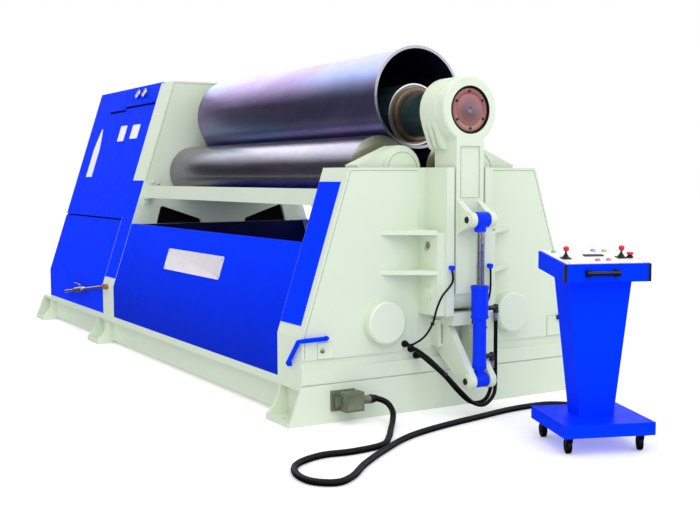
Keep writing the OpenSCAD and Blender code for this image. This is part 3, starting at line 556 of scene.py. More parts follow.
def addBar(name, start, end, radius, sides=32):
    # a round or many-sided bar between two points
    clearSelection()
    along = Vector(end) - Vector(start)
    bpy.ops.mesh.primitive_cylinder_add(
        vertices=sides, radius=radius, depth=along.length, location=(Vector(start) + Vector(end)) / 2,
        rotation=along.to_track_quat("Z", "Y").to_euler())
    return settle(bpy.context.object, name)


def addTube(name, start, end, outer, inner, sides=32):
    # a short tube: the two ends of a bar are inset and bridged through it
    bar = addBar(name, start, end, outer, sides)
    chooseFaces(bar, Vector(end) - Vector(start), both=True)
    bpy.ops.mesh.inset(thickness=outer - inner, depth=0, use_individual=True)
    bpy.ops.mesh.bridge_edge_loops()
    bpy.ops.object.mode_set(mode="OBJECT")
    return bar


up, down, endward = Vector((0, 0, 1)), Vector((0, 0, -1)), Vector((1, 0, 0))
hair = 0.0002   # how far a thing laid on a face stands clear of it

def chooseFaces(piece, direction, both=False):
    # opens a piece for editing with only the faces that look along a direction chosen, or straight back too
    takeUp(piece)
    bpy.ops.object.mode_set(mode="EDIT")
    bpy.ops.mesh.select_mode(type="FACE")
    bpy.ops.mesh.select_all(action="DESELECT")
    mesh = bmesh.from_edit_mesh(piece.data)
    direction = Vector(direction).normalized()
    for face in mesh.faces:
        along = face.normal.dot(direction)
        face.select_set((abs(along) if both else along) > 0.9)
    bmesh.update_edit_mesh(piece.data)


def pushFaces(reach):
    # draws the chosen faces out, with new sides behind them
    bpy.ops.mesh.extrude_region_move(TRANSFORM_OT_translate={"value": reach})


def stepFace(piece, direction, steps, both=False):
    # insets the faces that look along a direction and pushes the inner part out: both at once makes a taper
    chooseFaces(piece, direction, both)
    for inset, push in steps:
        if inset:
            bpy.ops.mesh.inset(thickness=inset, depth=push)
        else:
            mesh = bmesh.from_edit_mesh(piece.data)
            out = sum((face.normal for face in mesh.faces if face.select), Vector()).normalized()
            pushFaces(out * push)
    bpy.ops.object.mode_set(mode="OBJECT")
    return piece


def roundEdges(piece, width, segments=2, angle=38):
    # a small bevel on every edge sharper than the angle
    takeUp(piece)
    bevel = piece.modifiers.new("rounded", "BEVEL")
    bevel.width = width
    bevel.segments = segments
    bevel.limit_method = "ANGLE"
    bevel.angle_limit = math.radians(angle)
    bpy.ops.object.modifier_apply(modifier=bevel.name)
    bpy.ops.object.shade_smooth_by_angle(angle=math.radians(angle))
    return piece


def joinPieces(name, pieces):
    takeUp(pieces[0])
    for piece in pieces[1:]:
        piece.select_set(True)
    if len(pieces) > 1:
        bpy.ops.object.join()
    pieces[0].name = name
    return pieces[0]


def aimed(place, direction, roll=0):
    # a matrix that stands a model at a place, its +Z along the direction
    turn = Vector(direction).to_track_quat("Z", "Y").to_matrix().to_4x4()
    return Matrix.Translation(place) @ turn @ Matrix.Rotation(roll, 4, "Z")


def fourCorners(x, y, z=0):
    # a matrix at each corner of a rectangle round the origin
    return [Matrix.Translation((sx * x, sy * y, z)) for sx in (-1, 1) for sy in (-1, 1)]


def spread(model, name, spots):
    # one copy of a model for each matrix, each with its own mesh, joined in one piece
    copies = []
    for spot in spots:
        copy = model.copy()
        copy.data = model.data.copy()
        scene.collection.objects.link(copy)
        copy.data.transform(spot)
        copies.append(copy)
    bpy.data.objects.remove(model)
    return joinPieces(name, copies)


def dress(piece, material, slotName, body="machine"):
    # finish and moving body of a new piece; slotName is not used
    piece.data.materials.clear()
    piece.data.materials.append(material)
    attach(piece, body)
    return piece


def makeBolt(size):
    # washer and six-sided head with a chamfered top, standing on +Z
    low = size * 0.22
    head = addBar("bolt", (0, 0, low), (0, 0, low + size * 0.6), size, 6)
    stepFace(head, up, [(size * 0.14, size * 0.1)])
    ring = addBar("washer", (0, 0, 0), (0, 0, low), size * 1.35, 24)
    stepFace(ring, up, [(size * 0.12, size * 0.04)])
    return joinPieces("bolt", [head, ring])


def makeCapScrew(size):
    # round head with a six-sided socket
    head = addBar("screw", (0, 0, 0), (0, 0, size * 0.7), size, 24)
    stepFace(head, up, [(size * 0.12, size * 0.1), (size * 0.4, 0), (0, -size * 0.4)])
    return head


# ripples: how much each swells the bead, and its turn from one point to the next
beadShape = {"spacing": 0.012, "ripples": [(0.16, 1.9), (0.07, 0.7)]}

def makeBead(name, lines, radius, material, body="machine"):
    # rippled seams laid along joints
    dotted = []
    for line in lines:
        line, dots = [Vector(p) for p in line], []
        for start, end in zip(line, line[1:]):
            count = max(2, round((end - start).length / beadShape["spacing"]))
            dots += [start.lerp(end, i / count) for i in range(count)]
        dotted.append(dots + [line[-1]])
    bead = makeCurve(name, dotted, radius, 1)
    for spline in bead.data.splines:
        for i, point in enumerate(spline.points):
            point.radius = 1 + sum(swell * math.sin(i * turn) for swell, turn in beadShape["ripples"])
    takeUp(bead)
    bpy.ops.object.convert(target="MESH")
    bpy.ops.object.shade_smooth_by_angle(angle=math.radians(50))
    return dress(bpy.context.object, material, "machine_paint", body)


# turned: the rings of the face from the rim inward, each its width and how far it rises
yokeHead = {
    "face": yokeFace, "radius": capHigh.y, "opening": capHigh.y + 0.011,
    "turned": [(0.004, 0.004), (0.030, 0.0), (0.0015, -0.002), (0.003, 0), (0.0015, 0.002), (0.034, -0.0012),
               (0.002, 0.003), (0.034, -0.0008), (0.004, 0.002), (0.012, 0), (0.006, -0.005)],
    "screws": 6, "screwCircle": 0.119, "screwTurn": 92, "screwSize": 0.0085, "screwSunk": 0.008,
}

def makeYokeCap(head):
    # the faced cap over the top roll bearing, a black ring filling the groove round it that stands for the
    # shade in the groove (painted shade), and six sunk screws
    back, face = capLow.x, head["face"]
    cap = addBar("yokeCapDisc", (back, 0, rollAxis), (face - 0.012, 0, rollAxis), head["radius"] - 0.002, 96)
    stepFace(cap, endward, head["turned"])
    dress(roundEdges(cap, 0.0006, 1), capCopper, "copper_cap", "yoke_body")
    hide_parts("yoke_cap")
    # the groove round the cap is filled with black: painted shade
    seal = addTube("yokeCapGrooveShade", (back + 0.001, 0, rollAxis), (face + 0.001, 0, rollAxis),
                   head["opening"] - 0.0006, head["radius"] - 0.001, 96)
    dress(roundEdges(seal, 0.0015), rubberBlack, "black_rubber", "yoke_body")
    spots = []
    for i in range(head["screws"]):
        turn = math.radians(head["screwTurn"] + 360 / head["screws"] * i)
        y, z = head["screwCircle"] * math.cos(turn), rollAxis + head["screwCircle"] * math.sin(turn)
        spots.append(aimed((face - head["screwSunk"], y, z), endward, i))
    screws = spread(makeCapScrew(head["screwSize"]), "yokeCapScrews", spots)
    dress(roundEdges(screws, 0.0006, 1), plasticBlack, "black_plastic", "yoke_body")

makeYokeCap(yokeHead)

rollNeck = {
    "start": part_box("drop_end_inner_plate")[0].x - 0.056, "length": 0.046, "radius": 0.1885, "bore": 0.152,
    "lipRadius": 0.2165, "lipBore": 0.202, "lipHalf": 0.004,
}

def makeRollNeck(neck):
    # bronze collar on the top roll, with a bright turned lip round its inner end
    x, half = neck["start"], neck["lipHalf"]
    collar = addTube("topRollCollar", (x, 0, rollAxis), (x + neck["length"], 0, rollAxis),
                     neck["radius"], neck["bore"], 96)
    stepFace(collar, endward, [(0.004, 0.004)])
    dress(roundEdges(collar, 0.002), bronze, "copper_cap", "top_roll_body")
    lip = addTube("topRollLip", (x - half, 0, rollAxis), (x + half, 0, rollAxis),
                  neck["lipRadius"], neck["lipBore"], 96)
    dress(roundEdges(lip, 0.002), steelBright, "bright_steel", "top_roll_body")

makeRollNeck(rollNeck)

# for each pin end, the outer face of its lug and where the washer starts
linkPins = {
    "upper": {"place": (3.43, 1.285), "faces": [(-0.108, -0.100), (0.108, 0.100)], "body": "yoke_body"},
    "lower": {"place": (3.43, 0.244), "faces": [(-0.112, -0.112), (0.103, 0.095)], "body": "machine"},
    "radius": 0.0215, "washer": 0.040,
}

def makeLinkPins(pins):
    # each pin end is chamfered, sunk a little in the middle and stands in a pale washer
    for name in ("upper", "lower"):
        pin, radius = pins[name], pins["radius"]
        x, z = pin["place"]
        ends, washers = [], []
        for face, base in pin["faces"]:
            out = math.copysign(1, face)
            end = addBar("end", (x, face, z), (x, face + out * 0.003, z), radius, 40)
            ends.append(stepFace(end, (0, out, 0), [(0.003, 0.003), (0.010, 0), (0.002, -0.003)]))
            washers.append(addTube("washer", (x, base, z), (x, face + out * 0.0015, z),
                                   pins["washer"], radius + 0.001, 48))
        dress(roundEdges(joinPieces(name + "PinEnds", ends), 0.0008, 1), plasticBlack, "black_plastic",
              pin["body"])
        dress(roundEdges(joinPieces(name + "PinWashers", washers), 0.0015), enamelPaint, "machine_paint",
              pin["body"])

makeLinkPins(linkPins)

# each ring: from and to along the barrel, outer radius, inner radius
barrelRings = {
    "weldLow": (0.322, 0.330, 0.0475, 0.0455), "bandLow": (0.336, 0.356, 0.0465, 0.0455),
    "headStep": (0.648, 0.664, 0.0585, 0.0565), "glandBand": (0.834, 0.8595, 0.0590, 0.0565),
    "glandNut": (0.8595, 0.8620, 0.0500, 0.0305),
}
rodWiper = (0.8590, 0.8640, 0.038, 0.0295)
cylinderX = linkPins["lower"]["place"][0]

def makeCylinderRings(rings, wiper):
    # turned bands on the barrel and the screwed gland that the rod comes out of
    def ringAt(name, low, high, outer, inner, sides):
        return addTube(name, (cylinderX, 0, low), (cylinderX, 0, high), outer, inner, sides)

    bands = joinPieces("cylinderBands", [ringAt(name, *ring, 64) for name, ring in rings.items()])
    dress(roundEdges(bands, 0.0010), enamelGloss, "blue_paint", "cylinder_barrel_body")
    seal = ringAt("rodWiper", *wiper, 48)
    dress(roundEdges(seal, 0.001), rubberBlack, "black_rubber", "cylinder_barrel_body")

makeCylinderRings(barrelRings, rodWiper)

# each port: where its hose starts, the height of the pipe and where the pipe leaves the barrel
ports = {
    "upper": {"place": hoses["cylinder_hose_upper"]["route"][0], "pipe": 0.707, "start": 0.056},
    "lower": {"place": hoses["cylinder_hose_lower"]["route"][0], "pipe": 0.393, "start": 0.044},
}

# sizes of the fittings; the sleeve's span and its crimps are heights from where the hose starts
portParts = {
    "nut": 0.021, "nutLong": 0.022, "stem": 0.0155, "elbow": 0.0175, "sleeve": 0.0172, "sleeveBore": 0.0125,
    "sleeveSpan": (-0.066, -0.014), "crimp": 0.0182, "crimpBore": 0.0165, "crimps": (-0.052, -0.038),
}

def makePorts(ports, sizes):
    # dark steel union nuts at the barrel and elbow, bright crimped sleeves on the hoses
    nuts, sleeves = [], []
    for port in ports.values():
        x, y, z = port["place"]
        pipe, nutEnd = port["pipe"], port["start"] + sizes["nutLong"]
        nuts.append(addBar("nut", (x, port["start"], pipe), (x, nutEnd, pipe), sizes["nut"], 6))
        nuts.append(addBar("stem", (x, nutEnd, pipe), (x, y, pipe), sizes["stem"], 24))
        elbow = addBar("elbow", (x, y, z + 0.002), (x, y, z + 0.036), sizes["elbow"], 24)
        stepFace(elbow, up, [(0.005, 0.004)])
        nuts.append(elbow)
        nuts.append(addBar("swivel", (x, y, z - 0.016), (x, y, z + 0.004), sizes["nut"], 6))
        for rise in sizes["crimps"]:
            low, high = z + rise, z + rise + 0.006
            sleeves.append(addTube("crimp", (x, y, low), (x, y, high), sizes["crimp"], sizes["crimpBore"]))
        low, high = [z + rise for rise in sizes["sleeveSpan"]]
        sleeves.append(addTube("sleeve", (x, y, low), (x, y, high), sizes["sleeve"], sizes["sleeveBore"]))
    dress(roundEdges(joinPieces("portFittings", nuts), 0.001), steelDark, "bright_steel",
          "cylinder_barrel_body")
    dress(roundEdges(joinPieces("hoseSleeves", sleeves), 0.0008, 1), steelBright, "bright_steel",
          "cylinder_barrel_body")

makePorts(ports, portParts)

hoseBoots = {
    "cylinder_hose_upper": 0.0200, "cylinder_hose_lower": 0.0200,
    "lock_hose_front": 0.0175, "lock_hose_rear": 0.0175,
}

def makeHoseBoots(radii):
    # rubber boots where the four hoses go into the end plate
    boots = []
    for name, radius in radii.items():
        _, y, z = hoses[name]["route"][-1]
        boot = addBar("boot", (endFace, y, z), (endFace + 0.014, y, z), radius + 0.005, 32)
        stepFace(boot, endward, [(0.005, 0.003), (0, 0.012), (radius * 0.28, 0.016)])
        boots.append(boot)
    dress(roundEdges(joinPieces("hoseBoots", boots), 0.0012), rubberBlack, "black_rubber")

makeHoseBoots(hoseBoots)

# each tie: its hose, the point of the route it sits at and its radius
hoseTies = [("lock_hose_front", 4, 0.0125), ("lock_hose_front", 6, 0.0115), ("lock_hose_rear", 5, 0.0115),
            ("cylinder_hose_upper", 7, 0.0175)]

def makeHoseTies(places):
    # short black ties round the hoses
    ties = []
    for name, index, radius in places:
        route = [Vector(p) for p in hoses[name]["route"]]
        along = (route[index + 1] - route[index - 1]).normalized() * 0.007
        ties.append(addTube("tie", route[index] - along, route[index] + along, radius, radius - 0.0045, 24))
    dress(roundEdges(joinPieces("hoseTies", ties), 0.0012), plasticBlack, "black_plastic")

makeHoseTies(hoseTies)
print("yoke and cylinder dressed")


def onSlope(x, z, out=0.0):
    # a matrix on the sloping front: local X along the rolls, local Y up the slope, local Z outward
    angle = math.pi / 2 - math.atan(outline["rate"])
    base = Matrix.Translation((x, -halfDepth(z), z)) @ Matrix.Rotation(angle, 4, "X")
    return base @ Matrix.Translation((0, 0, out))

slopeOut = onSlope(0, outline["fold"]).to_3x3() @ Vector((0, 0, 1))
slopeStretch = math.sqrt(1 + outline["rate"] ** 2)   # length along the slope for each unit of height


def addSheet(name, centre, size, corner):
    # a thin plate with rounded corners lying on the sloping front
    piece = addBlock(name, (-size[0] / 2, -size[1] / 2, 0), (size[0] / 2, size[1] / 2, size[2]))
    takeUp(piece)
    bpy.ops.object.mode_set(mode="EDIT")
    bpy.ops.mesh.select_mode(type="EDGE")
    bpy.ops.mesh.select_all(action="DESELECT")
    mesh = bmesh.from_edit_mesh(piece.data)
    for edge in mesh.edges:
        edge.select_set(abs((edge.verts[0].co - edge.verts[1].co).normalized().z) > 0.9)
    bmesh.update_edit_mesh(piece.data)
    bpy.ops.mesh.bevel(offset=corner, segments=4)
    bpy.ops.object.mode_set(mode="OBJECT")
    piece.data.transform(onSlope(*centre, hair))
    return piece


namePlate = {
    "centre": (1.055, 0.884), "size": (1.12, 0.178, 0.006), "corner": 0.016, "rim": 0.010, "rivetIn": 0.022,
}

def makeNamePlate(plate):
    # a bare raised plate with a rim and four rivets
    centre, size, inward = plate["centre"], plate["size"], plate["rivetIn"]
    piece = addSheet("namePlate", centre, size, plate["corner"])
    stepFace(piece, slopeOut, [(plate["rim"], 0), (0.002, -0.0015)])
    dress(roundEdges(piece, 0.0008, 1, 20), plateSatin, "gauge_white")
    rivet = addBar("rivet", (0, 0, 0), (0, 0, 0.003), 0.007, 20)
    stepFace(rivet, up, [(0.002, 0.0015), (0.002, 0.0006)])
    corners = fourCorners(size[0] / 2 - inward, size[1] / 2 - inward, 0.0045)
    spots = [onSlope(*centre) @ corner for corner in corners]
    dress(roundEdges(spread(rivet, "namePlateRivets", spots), 0.0004, 1), zinc, "bright_steel")

makeNamePlate(namePlate)

cabinetPlates = {
    "left": {"centre": (-1.662, 2.004), "size": (0.19, 0.165, 0.003), "corner": 0.014},
    "right": {"centre": (-1.283, 2.010), "size": (0.215, 0.145, 0.003), "corner": 0.014},
}
# narrowing: how far from the shoulder to the tip, and the share of the width left there
# a white streak of light on the blue slope: painted highlight
highlightMark = {
    "centre": -2.372, "half": 0.098, "low": 1.565, "shoulder": 1.86, "tip": 2.075, "thick": 0.0015,
    "narrowing": [(0.45, 0.66), (0.8, 0.34), (1.0, 0.12)],
}
louvres = [
    {"from": -1.795, "to": -0.935, "z": 2.276}, {"from": -2.262, "to": -1.760, "z": 2.246},
]

def makeCabinetFront(plates, mark, louvres):
    # two bare white plates, a white sheet tapering upward that stands for a streak of light on the blue slope
    # (painted highlight), and two narrow louvres whose slots are dark blocks standing for the shade inside
    # them (painted shade)
    for name, plate in plates.items():
        piece = addSheet("cabinetPlate-" + name, plate["centre"], plate["size"], plate["corner"])
        stepFace(piece, slopeOut, [(0.008, 0), (0.001, -0.001)])
        dress(roundEdges(piece, 0.0005, 1, 20), plasticWhite, "gauge_white")
    middle, half = (mark["low"] + mark["tip"]) / 2, mark["half"]
    low, shoulder, tip = [(mark[level] - middle) * slopeStretch for level in ("low", "shoulder", "tip")]
    highlightSheet = addBlock("cabinetPaintedHighlight", (-half, low, 0), (half, shoulder, mark["thick"]))
    chooseFaces(highlightSheet, (0, 1, 0))
    for share, narrow in mark["narrowing"]:
        reach = shoulder + (tip - shoulder) * share
        mesh = bmesh.from_edit_mesh(highlightSheet.data)
        now = max(vert.co.y for vert in mesh.verts)
        pushFaces((0, reach - now, 0))
        mesh = bmesh.from_edit_mesh(highlightSheet.data)
        width = max(vert.co.x for vert in mesh.verts if vert.select)
        bpy.ops.transform.resize(value=(narrow * half / width, 1, 1), center_override=(0, 0, 0))
    bpy.ops.object.mode_set(mode="OBJECT")
    highlightSheet.data.transform(onSlope(mark["centre"], middle, hair))
    dress(roundEdges(highlightSheet, 0.0004, 1, 20), plasticWhite, "gauge_white")
    covers, shadeSlots = [], []
    for louvre in louvres:
        half = (louvre["to"] - louvre["from"]) / 2
        spot = onSlope((louvre["to"] + louvre["from"]) / 2, louvre["z"])
        cover = addBlock("hood", (-half, 0.004, 0), (half, 0.022, 0.003))
        stepFace(cover, up, [(0.003, 0.007)])
        # the dark slot block under each hood stands for the shade inside the louvre: painted shade
        slot = addBlock("slot", (-half + 0.004, -0.016, hair), (half - 0.004, 0.005, 0.002))
        stepFace(slot, up, [(0.002, -0.001)])
        for piece, group in ((cover, covers), (slot, shadeSlots)):
            piece.data.transform(spot)
            group.append(piece)
    dress(roundEdges(joinPieces("louvreHoods", covers), 0.0012), enamelBlue, "blue_paint")
    dress(joinPieces("louvreShadeSlots", shadeSlots), shadowBlack, "black_plastic")

makeCabinetFront(cabinetPlates, highlightMark, louvres)

# turns are in degrees from straight up, the marks clockwise and the pointers the other way
gauges = {
    "centres": [(-1.475, 2.387), (-1.285, 2.387)], "pointers": [112, 82], "radius": 0.045, "high": 0.022,
    "marks": 11, "firstMark": -135, "markStep": 27, "markEnd": 0.033,
}

def makeGauges(gauges):
    # bezel, dial with short marks, pointer and boss
    radius, high, end = gauges["radius"], gauges["high"], gauges["markEnd"]
    dials, bezels, marks = [], [], []
    for (x, z), pointer in zip(gauges["centres"], gauges["pointers"]):
        spot = onSlope(x, z)
        bezel = addTube("bezel", (0, 0, 0), (0, 0, high + 0.004), radius, radius - 0.007, 64)
        stepFace(bezel, up, [(0.0015, 0.0015)])
        dial = addBar("dial", (0, 0, 0), (0, 0, high - 0.003), radius - 0.0065, 64)
        stepFace(dial, up, [(0.002, 0.001)])
        for step in range(gauges["marks"]):
            turn = math.radians(gauges["firstMark"] + gauges["markStep"] * step)
            long = 0.008 if step % 5 == 0 else 0.005
            mark = addBlock("mark", (-0.0007, end - long, high - 0.002), (0.0007, end, high - 0.0014))
            mark.data.transform(spot @ Matrix.Rotation(-turn, 4, "Z"))
            marks.append(mark)
        needle = addBlock("needle", (-0.0014, -0.008, high - 0.001), (0.0014, 0.026, high + 0.0002))
        needle.data.transform(spot @ Matrix.Rotation(math.radians(pointer), 4, "Z"))
        boss = addBar("boss", (0, 0, high - 0.002), (0, 0, high + 0.001), 0.004, 20)
        boss.data.transform(spot)
        marks += [needle, boss]
        for piece, group in ((bezel, bezels), (dial, dials)):
            piece.data.transform(spot)
            group.append(piece)
    dial = dress(roundEdges(joinPieces("gaugeDials", dials), 0.0006, 1), plasticWhite, "gauge_white")
    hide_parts("pressure_gauges")
    dress(roundEdges(joinPieces("gaugeBezels", bezels), 0.0010), steelBright, "bright_steel")
    dress(joinPieces("gaugeMarks", marks), plasticBlack, "black_plastic")

makeGauges(gauges)

doorSeam = {"z": 1.16, "half": 0.0075, "sunk": (0.024, 0.006), "short": 0.004}
doorFiller = {"from": -0.9195, "to": -0.9055, "low": 1.19, "high": 1.53}

def makeDoorDetails(seam, filler):
    # a dark strip in the gap between the doors, standing for the shade there (painted shade), and the blue
    # edge of the upper door beside the frame strip
    half, short, (deep, shallow) = seam["half"], seam["short"], seam["sunk"]
    gapShade = addBlock("doorGapShade", (cabinetLeft + short, -half, -deep),
                      (cabinetRight - short, half, -shallow))
    stepFace(gapShade, up, [(0.002, -0.003)])
    gapShade.data.transform(onSlope(0, seam["z"]))
    dress(gapShade, shadowBlack, "black_rubber")
    reach = (filler["high"] - filler["low"]) / 2 * slopeStretch
    edge = addBlock("doorEdge", (filler["from"], -reach, -0.004), (filler["to"], reach, 0.003))
    stepFace(edge, up, [(0.002, 0.0005)])
    edge.data.transform(onSlope(0, (filler["low"] + filler["high"]) / 2))
    dress(edge, enamelBlue, "blue_paint")

makeDoorDetails(doorSeam, doorFiller)

# each sheet is high at its outer edge and low at its inner one
windowShade = {"x": -0.6555, "thick": 0.003, "inner": 0.205, "outer": 0.700,
               "foot": 1.100, "step": 1.150, "innerTop": 1.185, "outerTop": 1.305}

def makeWindowShades(shadeSpan):
    # dark sheets inside the two arm windows of the drive end, standing for the shade within them: painted
    # shade
    for side, name in ((-1, "front"), (1, "rear")):
        y0, y1 = sorted((side * shadeSpan["inner"], side * shadeSpan["outer"]))
        sheet = addBlock("windowShade-" + name, (shadeSpan["x"], y0, shadeSpan["foot"]),
                         (shadeSpan["x"] + shadeSpan["thick"], y1, shadeSpan["step"]))
        chooseFaces(sheet, up)
        rise = shadeSpan["outerTop"] - shadeSpan["step"]
        pushFaces((0, 0, rise))
        mesh = bmesh.from_edit_mesh(sheet.data)
        for vert in mesh.verts:
            if vert.select and abs(vert.co.y) < shadeSpan["inner"] + 0.01:
                vert.co.z = shadeSpan["innerTop"]
        bmesh.update_edit_mesh(sheet.data)
        bpy.ops.object.mode_set(mode="OBJECT")
        dress(sheet, shadowBlack, "black_plastic")

makeWindowShades(windowShade)

railEnds = {
    "wallBolts": [(0.705, 1.515), (0.655, 1.504)], "boltSize": 0.011, "boltDown": 0.036,
    "angle": {"out": 0.806, "low": 1.312, "wide": 0.085, "thick": 0.010, "reach": 0.10},
}

def makeRailEnds(ends):
    # angle brackets under the plate rails at both side frames, with their bolts
    angle, bolts, brackets = ends["angle"], [], []
    thick, (railStart, railEnd) = angle["thick"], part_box("plate_rails")
    low = railStart.z
    for x, toward in ((railStart.x, 1), (railEnd.x, -1)):
        for side in (-1, 1):
            y0, y1 = sorted((side * (angle["out"] - 0.002), side * (angle["out"] - angle["wide"])))
            x0, x1 = sorted((x, x + toward * angle["reach"]))
            brackets.append(addBlock("flat", (x0, y0, low - thick), (x1, y1, low - 0.0003)))
            x0, x1 = sorted((x, x + toward * thick))
            brackets.append(addBlock("wall", (x0, y0, angle["low"]), (x1, y1, low - thick)))
            spot = (x + toward * thick, side * (angle["out"] - angle["wide"] / 2), low - ends["boltDown"])
            bolts.append(aimed(spot, (toward, 0, 0), side))
            for y, z in ends["wallBolts"]:
                bolts.append(aimed((x, side * y, z), (toward, 0, 0), 0.4 * side))
    dress(roundEdges(joinPieces("railAngles", brackets), 0.002), enamelPaint, "machine_paint")
    model = makeBolt(ends["boltSize"])
    dress(roundEdges(spread(model, "railBolts", bolts), 0.0008, 1), enamelPaint, "machine_paint")

makeRailEnds(railEnds)
print("cabinet and covers dressed")


# places on the desk are from the middle of the panel, first toward the operator, then along the desk
console = {
    "centre": (4.319, 0.135), "turn": -20.6, "deskFront": 1.072, "deskHalf": 0.2, "deskRise": 0.048,
    "deskRun": 0.42, "panelUp": 0.0046, "panelHalf": (0.185, 0.232), "casterHalf": (0.195, 0.215),
    "sticks": [(0.045, -0.190), (0.045, 0.145)], "stop": (0.050, 0.197),
    "display": {"centre": (-0.025, 0.005), "half": (0.020, 0.058)},
    "buttons": {
        "pink": [(-0.170, 0.065), (0.118, -0.028), (0.112, 0.040)], "yellow": [(-0.160, 0.132)],
        "green": [(-0.150, -0.186)],
    },
}
consoleTurn = Matrix.Rotation(math.radians(console["turn"]), 4, "Z")
consoleFrame = Matrix.Translation((*console["centre"], 0)) @ consoleTurn

def onDesk(x, y):
    # a matrix on the sloping desk top, local Z straight out of the panel
    rise = console["deskRise"] / console["deskRun"]
    z = console["deskFront"] + rise * (console["deskHalf"] - x) + console["panelUp"]
    tilt = Matrix.Rotation(math.atan(rise), 4, "Y")
    return consoleFrame @ Matrix.Translation((x, y, z)) @ tilt


joystick = {
    "flange": 0.027, "thick": 0.005, "gaiter": 0.021, "ribs": 3, "screw": 0.0026, "screwOut": 0.021,
    "knob": 0.0170, "knobSpan": (0.050, 0.064),
}

def makeJoysticks(console, sizes):
    # square flange, four screws, ribbed gaiter, shaft and red knob
    half, thick, screwOut, (low, high) = [sizes[name] for name in ("flange", "thick", "screwOut", "knobSpan")]
    base = addBlock("flange", (-half, -half, 0), (half, half, thick))
    stepFace(base, up, [(0.004, 0.002)])
    gaiter = addBar("gaiter", (0, 0, thick), (0, 0, thick * 2), sizes["gaiter"])
    rib, shaft = [(0.0012, 0.0012), (0.003, 0), (0, 0.005)], [(0.002, 0.003), (0, 0.006)]
    stepFace(gaiter, up, rib * sizes["ribs"] + shaft)
    screws = spread(makeCapScrew(sizes["screw"]), "screws", fourCorners(screwOut, screwOut, thick))
    stick = joinPieces("stick", [base, gaiter, screws])
    knob = addBar("knob", (0, 0, low), (0, 0, high), sizes["knob"])
    stepFace(knob, down, [(0.004, 0.004), (0.005, 0.003), (0, 0.004)])
    stepFace(knob, up, [(0.003, 0.0045), (0.005, 0.003)])
    spots = [onDesk(*place) for place in console["sticks"]]
    black = dress(roundEdges(spread(stick, "joystickBases", spots), 0.0006, 1), plasticBlack, "black_plastic")
    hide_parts("console_controls")
    dress(roundEdges(spread(knob, "joystickKnobs", spots), 0.0012), plasticRed, "signal_red")

makeJoysticks(console, joystick)


def makeButtons(console):
    # the mushroom stop on its collar, the dark display and the round lit buttons in bezels
    spot = [onDesk(*console["stop"])]
    collar = addBar("stopCollar", (0, 0, 0), (0, 0, 0.010), 0.019, 40)
    stepFace(collar, up, [(0.003, 0.002), (0.003, 0), (0, 0.010)])
    dress(roundEdges(spread(collar, "stopCollar", spot), 0.0006, 1), plasticBlack, "black_plastic")
    head = addBar("stopHead", (0, 0, 0.022), (0, 0, 0.030), 0.020, 40)
    stepFace(head, down, [(0.004, 0.003)])
    stepFace(head, up, [(0.004, 0.003), (0.008, 0.0015)])
    red = dress(roundEdges(spread(head, "stopHead", spot), 0.0014), plasticRed, "signal_red")
    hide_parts("console_buttons")
    halfX, halfY = console["display"]["half"]
    display = addBlock("consoleDisplay", (-halfX, -halfY, 0), (halfX, halfY, 0.007))
    stepFace(display, up, [(0.004, 0), (0.001, -0.0015)])
    display.data.transform(onDesk(*console["display"]["centre"]))
    dress(roundEdges(display, 0.001), plasticBlack, "black_plastic")
    looks = {
        "pink": (plasticPink, "signal_red"), "yellow": (plasticYellow, None), "green": (plasticGreen, None),
    }
    rings = []
    for name, places in console["buttons"].items():
        spots = [onDesk(*place) for place in places]
        lens = addBar("lens", (0, 0, 0.001), (0, 0, 0.010), 0.0145, 32)
        stepFace(lens, up, [(0.0015, 0.0015), (0.004, 0.0008)])
        dress(roundEdges(spread(lens, name + "Buttons", spots), 0.0005, 1), *looks[name])
        rings += spots
    ring = addTube("ring", (0, 0, 0), (0, 0, 0.005), 0.0178, 0.0148, 32)
    stepFace(ring, up, [(0.001, 0.001)])
    dress(roundEdges(spread(ring, "buttonBezels", rings), 0.0005, 1), steelBright, "bright_steel")
    screw = makeCapScrew(0.004)
    x, y = [half - 0.012 for half in console["panelHalf"]]
    corners = [onDesk(sx * x, sy * y) for sx in (-1, 1) for sy in (-1, 1)]
    dress(roundEdges(spread(screw, "consolePanelScrews", corners), 0.0004, 1), zinc, "bright_steel")

makeButtons(console)

caster = {
    "top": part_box("console_base")[0].z, "wheel": 0.045, "trail": 0.020, "wide": 0.024,
    "turns": [-2, -10, -5, -12],
}

